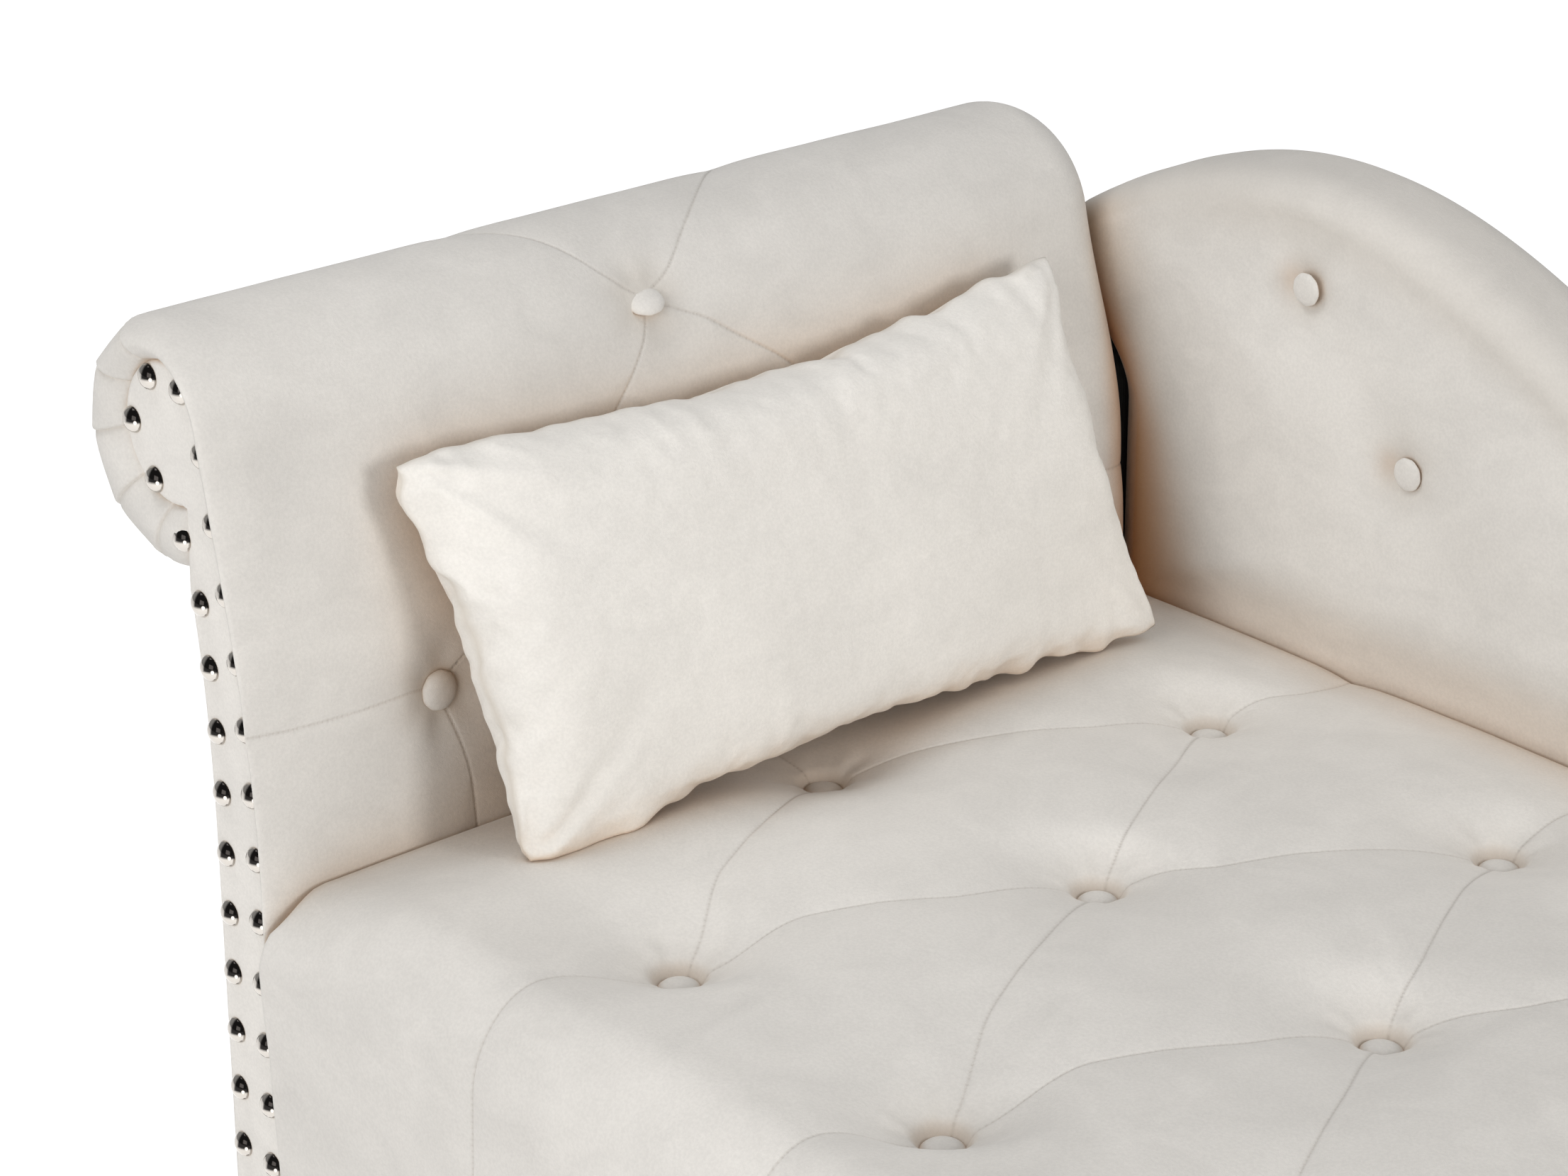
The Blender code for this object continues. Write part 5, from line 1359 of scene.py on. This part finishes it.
class CHAISE_OT_corner(PieceStep, bpy.types.Operator):
    """Covers the post that closes the corner behind the arm"""

    bl_idname = "chaise.corner"
    bl_label = "Corner Post"

    def make(self, scene):
        outline = [(-ARM_WIDTH, LEG_HEIGHT), (-ARM_WIDTH, SEAT_Z + POST_TOP - 0.004)]
        outline.append((-ARM_WIDTH + 0.002, SEAT_Z + POST_TOP))
        rises = [BACK_HIDDEN + (1 - BACK_HIDDEN) * share for share in spread(0.63, 0.0, 14)]
        outline += [(x - 5 * GAP, z) for x, z in back_edge(0.0, rises, 0.0)]
        outline.append((-BACK_LEFT_LOW - 5 * GAP, LEG_HEIGHT))
        depth = (BACK_FACE + 0.0004, BACK_REAR - 0.0004)
        post = outline_cover("corner_post_cover", outline, *depth, finish_named("velvet"), 0.005)
        fit(post, "ivory_velvet", "corner_post")
        self.shade_sheet()

    def shade_sheet(self):
        """A black sheet down in the open corner between the arm and the back: painted shade where the deep
        shadow falls.
        """
        bm = bmesh.new()
        last = None
        for up in spread(-0.04, 0.24, 30):
            edge = float(back_left(up)) - 0.0009
            front = BACK_FACE - 0.0004
            spots = [(edge - 0.033, front), (edge, front), (edge, BACK_FACE + 0.040)]
            row = [bm.verts.new(place_on_part((x, y, SEAT_Z + up)).tolist()) for x, y in spots]
            if last:
                bm.faces.new((last[0], last[1], row[1], row[0]))
                bm.faces.new((last[1], last[2], row[2], row[1]))
            last = row
        fit(dress("corner_shade_sheet", bm, None, finish_named("black"), thick=0.0003), "black_cloth")


def pillow_blank(across, rise):
    """Two flat layers of cloth sewn round their rim, a little open in the middle."""
    long, high = PILLOW_CLOTH
    bm = bmesh.new()
    rim_field = bm.verts.layers.float.new("rim")
    run_field = bm.verts.layers.float.new("round")
    rng = random.Random(7)
    layers = []
    for side in (1, -1):
        grid = []
        for j in range(rise + 1):
            row = []
            for i in range(across + 1):
                a, r = i / across, j / rise
                at_rim = i in (0, across) or j in (0, rise)
                if side < 0 and at_rim:
                    row.append(layers[0][j][i])
                    continue
                puff = ((1 - abs(2 * a - 1) ** 4) * (1 - abs(2 * r - 1) ** 3)) ** 0.6
                lift = 0.010 * puff + rng.uniform(-0.0005, 0.0005) * (0 if at_rim else 1)
                vert = bm.verts.new(((a - 0.5) * long, (r - 0.5) * high, side * lift))
                gap_a, gap_r = min(a, 1 - a) * long, min(r, 1 - r) * high
                vert[rim_field] = min(gap_a, gap_r)
                vert[run_field] = a * long if gap_r < gap_a else 0.6 + r * high
                row.append(vert)
            grid.append(row)
        layers.append(grid)
    for side, grid in zip((1, -1), layers):
        for below, above in zip(grid, grid[1:]):
            for i in range(across):
                square = (below[i], below[i + 1], above[i + 1], above[i])
                bm.faces.new(square if side > 0 else tuple(reversed(square)))
    return bm


def settle_cloth(obj, pressure, frames):
    """Fills a closed piece of cloth and keeps the shape it settles into."""
    cloth = obj.modifiers.new("filling", "CLOTH")
    for name, value in PILLOW_FABRIC.items():
        setattr(cloth.settings, name, value)
    cloth.settings.uniform_pressure_force = pressure
    cloth.settings.effector_weights.gravity = 0.0
    cloth.collision_settings.use_collision = False
    cloth.point_cache.frame_start = 1
    cloth.point_cache.frame_end = frames
    scene = bpy.context.scene
    for step in range(1, frames + 1):
        scene.frame_set(step)
    apply_modifiers(obj)
    scene.frame_set(1)


def field_of(mesh, name):
    values = np.zeros(len(mesh.vertices), np.float32)
    mesh.attributes[name].data.foreach_get("value", values)
    return values.astype(float)


def points_of(mesh):
    points = np.zeros(len(mesh.vertices) * 3)
    mesh.vertices.foreach_get("co", points)
    return points.reshape(-1, 3)


# (across, up, height of its folds, how blunt) for each corner
PILLOW_CORNERS = ((-1, -1, 0.0080, 0.0060), (1, -1, 0.0046, 0.0))
PILLOW_CORNERS += ((1, 1, 0.0040, 0.0), (-1, 1, 0.0064, 0.0075))
PILLOW_CLOTH = (0.545, 0.275)
PILLOW_SAG = (0.006, 0.0, -0.008)
# How wavy the sewn edge is, and how deep its scallops are at the ends, the foot and the top
PILLOW_WAVE = 0.0065
PILLOW_SCALLOPS = (0.020, 0.055, 0.038)
# How far the seam lies back at the left end and forward at the foot, and how thin the foot is
PILLOW_SEAM_BACK = 0.0070
PILLOW_SEAM_FORWARD = 0.0035
PILLOW_FOOT_THIN = 0.42
PILLOW_CLEAR = 0.0004
PILLOW_FABRIC = {
    "quality": 6,
    "mass": 0.35,
    "tension_stiffness": 18.0,
    "compression_stiffness": 18.0,
    "shear_stiffness": 6.0,
    "bending_stiffness": 0.35,
    "use_pressure": True,
    "air_damping": 2.0,
}


class CHAISE_OT_pillow(PieceStep, bpy.types.Operator):
    """Sews, fills and places the loose lumbar pillow"""

    bl_idname = "chaise.pillow"
    bl_label = "Lumbar Pillow"

    def make(self, scene):
        wanted = scene.chaise_pillow
        across, rise = ((110, 54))
        pillow = dress("lumbar_pillow_cover", pillow_blank(across, rise), None, finish_named("pillow"))
        settle_cloth(pillow, wanted.pressure, wanted.frames)
        mesh = pillow.data
        spots = points_of(mesh)
        rim = field_of(mesh, "rim")
        spots *= np.array([PILLOW_WIDTH, PILLOW_HEIGHT, PILLOW_THICKNESS]) / 2 / np.abs(spots).max(axis=0)
        self.pucker(spots, rim, field_of(mesh, "round"), wanted.pucker)
        mesh.vertices.foreach_set("co", np.ravel(self.stood(spots)))
        mesh.update()
        # The velvet is darker along the sewn edge.
        layer = mesh.attributes.new("drawn", "FLOAT", "POINT")
        layer.data.foreach_set("value", (0.9 * np.exp(-rim / 0.0026)).astype(np.float32))
        smoother = pillow.modifiers.new("smoother", "SUBSURF")
        smoother.levels = smoother.render_levels = 1
        apply_modifiers(pillow)
        self.rest(pillow)
        fit(pillow, "pillow_velvet", "lumbar_pillow", body="pillow")

    def pucker(self, spots, rim, turn, size):
        """Gathers the cloth along the sewn edge and folds it at the corners."""
        side = np.sign(spots[:, 2])
        half_long, half_high = PILLOW_WIDTH / 2, PILLOW_HEIGHT / 2
        zeros = rim * 0
        short = ruffle(turn, side * 0.3, zeros, 0.012, 21)
        wide = ruffle(turn, zeros, zeros, 0.030, 22)
        scallop = ruffle(turn, zeros, zeros, 0.024, 23)
        near = np.exp(-rim / 0.026) * (1 - np.exp(-rim / 0.005))
        at_edge = np.exp(-rim / 0.016)
        spots[:, 2] += side * size * near * (short + wide) * 2.2 + PILLOW_WAVE * at_edge * wide
        for i, (cx, cy, height, blunt) in enumerate(PILLOW_CORNERS):
            from_x, from_y = half_long - cx * spots[:, 0], half_high - cy * spots[:, 1]
            away = np.hypot(from_x, from_y)
            angle = np.arctan2(from_y, from_x)
            folds = np.sin(angle * 14 + i * 2.0 + side) + 0.6 * np.sin(angle * 25 + i)
            spots[:, 2] += side * height * np.exp(-away / 0.040) * (1 - np.exp(-away / 0.016)) * folds
            spots[:, 0] -= cx * blunt * bell(away, 0.022)
            spots[:, 1] -= cy * blunt * bell(away, 0.022)
        ends, foot, top = PILLOW_SCALLOPS
        spots[:, 0] *= 1 - ends * at_edge * scallop
        spots[:, 1] *= 1 - np.where(spots[:, 1] < 0, foot, top) * at_edge * scallop
        above_foot = spots[:, 1] + half_high
        spots[:, 2] -= PILLOW_SEAM_BACK * bell(spots[:, 0] + half_long, 0.026)
        spots[:, 2] += PILLOW_SEAM_FORWARD * bell(above_foot, 0.020)
        spots[:, 2] *= np.where(side > 0, 1 - PILLOW_FOOT_THIN * bell(above_foot, 0.075), 1.0)

    def stood(self, spots):
        """Points of the pillow stood on the seat and leant on the arm."""
        half_long, half_high = PILLOW_WIDTH / 2, PILLOW_HEIGHT / 2
        lean = np.array([-math.sin(PILLOW_LEAN), 0.0, math.cos(PILLOW_LEAN)])
        face = np.array([math.cos(PILLOW_LEAN), 0.0, math.sin(PILLOW_LEAN)])
        corner = np.array([PILLOW_FOOT_X, PILLOW_FOOT_Y, SEAT_Z + PILLOW_FOOT_UP])
        up = spots[:, 1] + half_high
        along = spots[:, 0] + half_long - PILLOW_SKEW * up / PILLOW_HEIGHT
        far = bell(np.hypot(half_long - spots[:, 0], half_high - spots[:, 1]), 0.10)
        near = bell(np.hypot(half_long + spots[:, 0], half_high + spots[:, 1]), 0.09)
        left = bell(spots[:, 0] + half_long, 0.09) * (0.005 + 0.006 * up / PILLOW_HEIGHT)
        placed = corner + np.outer(along + 0.004 * far - 0.006 * near - left, [0.0, 1.0, 0.0])
        placed = placed + np.outer(up + 0.005 * far - 0.010 * near, lean) + np.outer(spots[:, 2], face)
        foot = bell(up, 0.05) * (1 - np.minimum(1.0, np.abs(spots[:, 0]) / half_long) ** 3)
        return place_on_part(placed + np.outer(foot, PILLOW_SAG))

    def rest(self, pillow):
        """Presses the pillow flat where it touches the seat and the arm."""
        carriers = [bpy.data.objects.get(n) for n in ("seat_upholstery", "arm_upholstery")]
        for carrier in [c for c in carriers if c]:
            faces = [p.vertices for p in carrier.data.polygons]
            tree = BVHTree.FromPolygons([v.co for v in carrier.data.vertices], faces)
            for vert in pillow.data.vertices:
                near, normal, _, _ = tree.find_nearest(vert.co, 0.05)
                if near is None:
                    continue
                side = (vert.co - near).dot(normal)
                if side < PILLOW_CLEAR:
                    vert.co = vert.co + normal * (PILLOW_CLEAR - side)
        pillow.data.update()


LEG_NODES = ("leg_head_front", "leg_head_back", "leg_foot_front", "leg_foot_back")
LEG_TOP = LEG_HEIGHT - GAP
# (radius, height) up the leg: a worn foot, a taper, and a ring under the top
LEG_PROFILE = ((0.0120, 0.0), (0.0136, 0.0010), (0.0141, 0.0030), (0.0150, 0.014), (0.0172, 0.040))
LEG_PROFILE += ((0.0198, 0.068), (0.0222, 0.090), (0.0226, 0.0925), (0.0212, 0.0940))
LEG_PROFILE += ((0.0226, 0.0955), (0.0238, 0.098), (0.0240, LEG_TOP - 0.001), (0.0232, LEG_TOP))


class CHAISE_OT_legs(PieceStep, bpy.types.Operator):
    """Turns the four legs"""

    bl_idname = "chaise.legs"
    bl_label = "Legs"

    def make(self, scene):
        for node in LEG_NODES:
            low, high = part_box(node)
            middle = Vector(((low[0] + high[0]) / 2, (low[1] + high[1]) / 2, 0.0))
            bm = bmesh.new()
            rings = turned(bm, middle, LEG_PROFILE, lambda x, y, z: (x, y, z), 48)
            bm.faces.new(list(reversed(rings[0])))
            bm.faces.new(rings[-1])
            fit(dress("turned_" + node, bm, None, finish_named("leg")), "leg_wood", node)


NODE_FINISHES = (
    ("leg_", "leg"),
    ("nail", "nickel"),
    ("lumbar_pillow", "pillow"),
    ("foam", "foam"),
    ("spring_deck", "black"),
    ("dust_cover", "black"),
    ("sinuous_spring", "steel"),
    ("_bolt", "steel"),
    ("rib", "plywood"),
    ("corner_block", "timber"),
    ("rail", "timber"),
    ("back_frame", "timber"),
)


class CHAISE_OT_inside(PieceStep, bpy.types.Operator):
    """Gives the frame, the springs and the other inner pieces their finishes"""

    bl_idname = "chaise.inside"
    bl_label = "Inner Pieces"

    def make(self, scene):
        for name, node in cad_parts.items():
            chosen = next((finish for part, finish in NODE_FINISHES if part in name), "velvet")
            for slot in node.material_slots:
                slot.material = finish_named(chosen)


def area_light(name, size, watts, place, target, colour=(1.0, 1.0, 1.0)):
    """A soft rectangular lamp aimed at a place."""
    data = bpy.data.lights.new(name, "AREA")
    data.shape = "RECTANGLE"
    data.size, data.size_y = size
    data.energy = watts
    data.color = colour
    lamp = bpy.data.objects.new(name, data)
    bpy.context.scene.collection.objects.link(lamp)
    lamp.location = place
    lamp.rotation_euler = (Vector(target) - Vector(place)).to_track_quat("-Z", "Y").to_euler()


def floor_finish():
    """A pale floor that keeps the chaise's shadow and runs out to white."""
    made = Finish("pale_floor", (0.86, 0.86, 0.86), 0.9)
    mottle = made.mix(made.grain(3.0, 2.0), (0.85, 0.85, 0.85, 1.0), (0.87, 0.87, 0.87, 1.0))
    path = made.add("ShaderNodeLightPath").outputs
    seen = made.maths("MAXIMUM", path["Is Camera Ray"], path["Is Glossy Ray"])
    seen = made.maths("MAXIMUM", seen, path["Is Transmission Ray"])
    glow = {"Color": (1.0, 1.0, 1.0, 1.0), "Strength": made.maths("MULTIPLY", seen, FLOOR_GLOW)}
    glow = made.add("ShaderNodeEmission", glow).outputs["Emission"]
    both = made.add("ShaderNodeAddShader", {0: made.shader.outputs["BSDF"], 1: glow})
    made.put(made.tree.nodes["Material Output"], {"Surface": both.outputs["Shader"]})
    return made.finish(Base_Color=mottle)


CAMERA_LENS = 96.96
CAMERA_TURNS = (22.824, 41.015, -0.115)
CAMERA_PLACE = (1.8344, -1.20475, 1.5466)


class CHAISE_OT_stage(PieceStep, bpy.types.Operator):
    """Sets the floor, the lights and the camera"""

    bl_idname = "chaise.stage"
    bl_label = "Stage"

    def make(self, scene):
        wanted = scene.chaise_stage
        scene.view_settings.view_transform = "Standard"
        bm = bmesh.new()
        bmesh.ops.create_grid(bm, x_segments=8, y_segments=8, size=14.0)
        floor = dress("floor", bm, None, floor_finish())
        scene.world = bpy.data.worlds.new("surroundings")
        scene.world.use_nodes = True
        made = Nodes(scene.world.node_tree)
        path = made.add("ShaderNodeLightPath").outputs
        seen = made.maths("MAXIMUM", path["Is Camera Ray"], path["Is Transmission Ray"])
        level = made.spread(seen, 0.0, 1.0, wanted.sky, 1.0)
        made.put(made.tree.nodes["Background"], {"Strength": level, "Color": (1.0, 1.0, 1.0, 1.0)})
        warm = (1.0, 0.985, 0.965)
        area_light("foot_light", (1.0, 1.0), wanted.foot, (2.9, 0.2, 1.6), (-0.5, 0.0, 0.6), warm)
        area_light("front_light", (2.0, 1.6), wanted.front, (0.5, -3.0, 1.4), (-0.2, 0.1, 0.5), warm)
        area_light("top_light", (0.9, 0.9), wanted.top, (-1.3, -0.8, 3.0), (-0.3, 0.0, 0.4))
        self.aim(scene)

    def aim(self, scene):
        """The camera at the photograph's view of the head end."""
        data = bpy.data.cameras.new("camera")
        camera = bpy.data.objects.new("camera", data)
        scene.collection.objects.link(camera)
        data.sensor_width = 36.0
        data.sensor_fit = "HORIZONTAL"
        data.lens = CAMERA_LENS
        pitch, turn, roll = (math.radians(a) for a in CAMERA_TURNS)
        level = Vector((-math.cos(turn), math.sin(turn), 0.0))
        side = Vector((math.sin(turn), math.cos(turn), 0.0))
        ahead = math.cos(pitch) * level - Vector((0.0, 0.0, math.sin(pitch)))
        up = math.sin(pitch) * level + Vector((0.0, 0.0, math.cos(pitch)))
        right = math.cos(roll) * side + math.sin(roll) * up
        above = -math.sin(roll) * side + math.cos(roll) * up
        view = Matrix((right, above, -ahead)).transposed()
        camera.matrix_world = Matrix.Translation(place_on_part(CAMERA_PLACE).tolist()) @ view.to_4x4()
        scene.camera = camera


STEPS = (
    CHAISE_OT_inside,
    CHAISE_OT_seat,
    CHAISE_OT_arm,
    CHAISE_OT_facing,
    CHAISE_OT_nails,
    CHAISE_OT_arm_sides,
    CHAISE_OT_back,
    CHAISE_OT_corner,
    CHAISE_OT_buttons,
    CHAISE_OT_pillow,
    CHAISE_OT_legs,
    CHAISE_OT_stage,
)
SETTINGS = (
    ("chaise_velvet", ChaiseVelvet),
    ("chaise_tufting", ChaiseTufting),
    ("chaise_pillow", ChaisePillow),
    ("chaise_nails", ChaiseNails),
    ("chaise_stage", ChaiseStage),
)


class CHAISE_PT_upholstery(bpy.types.Panel):
    """Lists the pieces of the chaise and their sizes"""

    bl_label = "Chaise Longue"
    bl_idname = "CHAISE_PT_upholstery"
    bl_space_type = "VIEW_3D"
    bl_region_type = "UI"
    bl_category = "Chaise"

    def draw(self, context):
        layout = self.layout
        for step in STEPS:
            layout.operator(step.bl_idname)
        for name, group in SETTINGS:
            box = layout.box()
            settings = getattr(context.scene, name)
            for key in group.__annotations__:
                box.prop(settings, key)


CLASSES = tuple(group for _, group in SETTINGS) + STEPS + (CHAISE_PT_upholstery,)


def register():
    for cls in CLASSES:
        bpy.utils.register_class(cls)
    for name, group in SETTINGS:
        setattr(bpy.types.Scene, name, PointerProperty(type=group))


def unregister():
    for name, _ in reversed(SETTINGS):
        delattr(bpy.types.Scene, name)
    for cls in reversed(CLASSES):
        bpy.utils.unregister_class(cls)


def main():
    register()
    bpy.ops.chaise.inside()
    bpy.ops.chaise.seat()
    bpy.ops.chaise.arm()
    bpy.ops.chaise.facing()
    bpy.ops.chaise.nails()
    bpy.ops.chaise.arm_sides()
    bpy.ops.chaise.back()
    bpy.ops.chaise.corner()
    bpy.ops.chaise.buttons()
    bpy.ops.chaise.pillow()
    bpy.ops.chaise.legs()
    bpy.ops.chaise.stage()


if __name__ == "__main__":
    main()
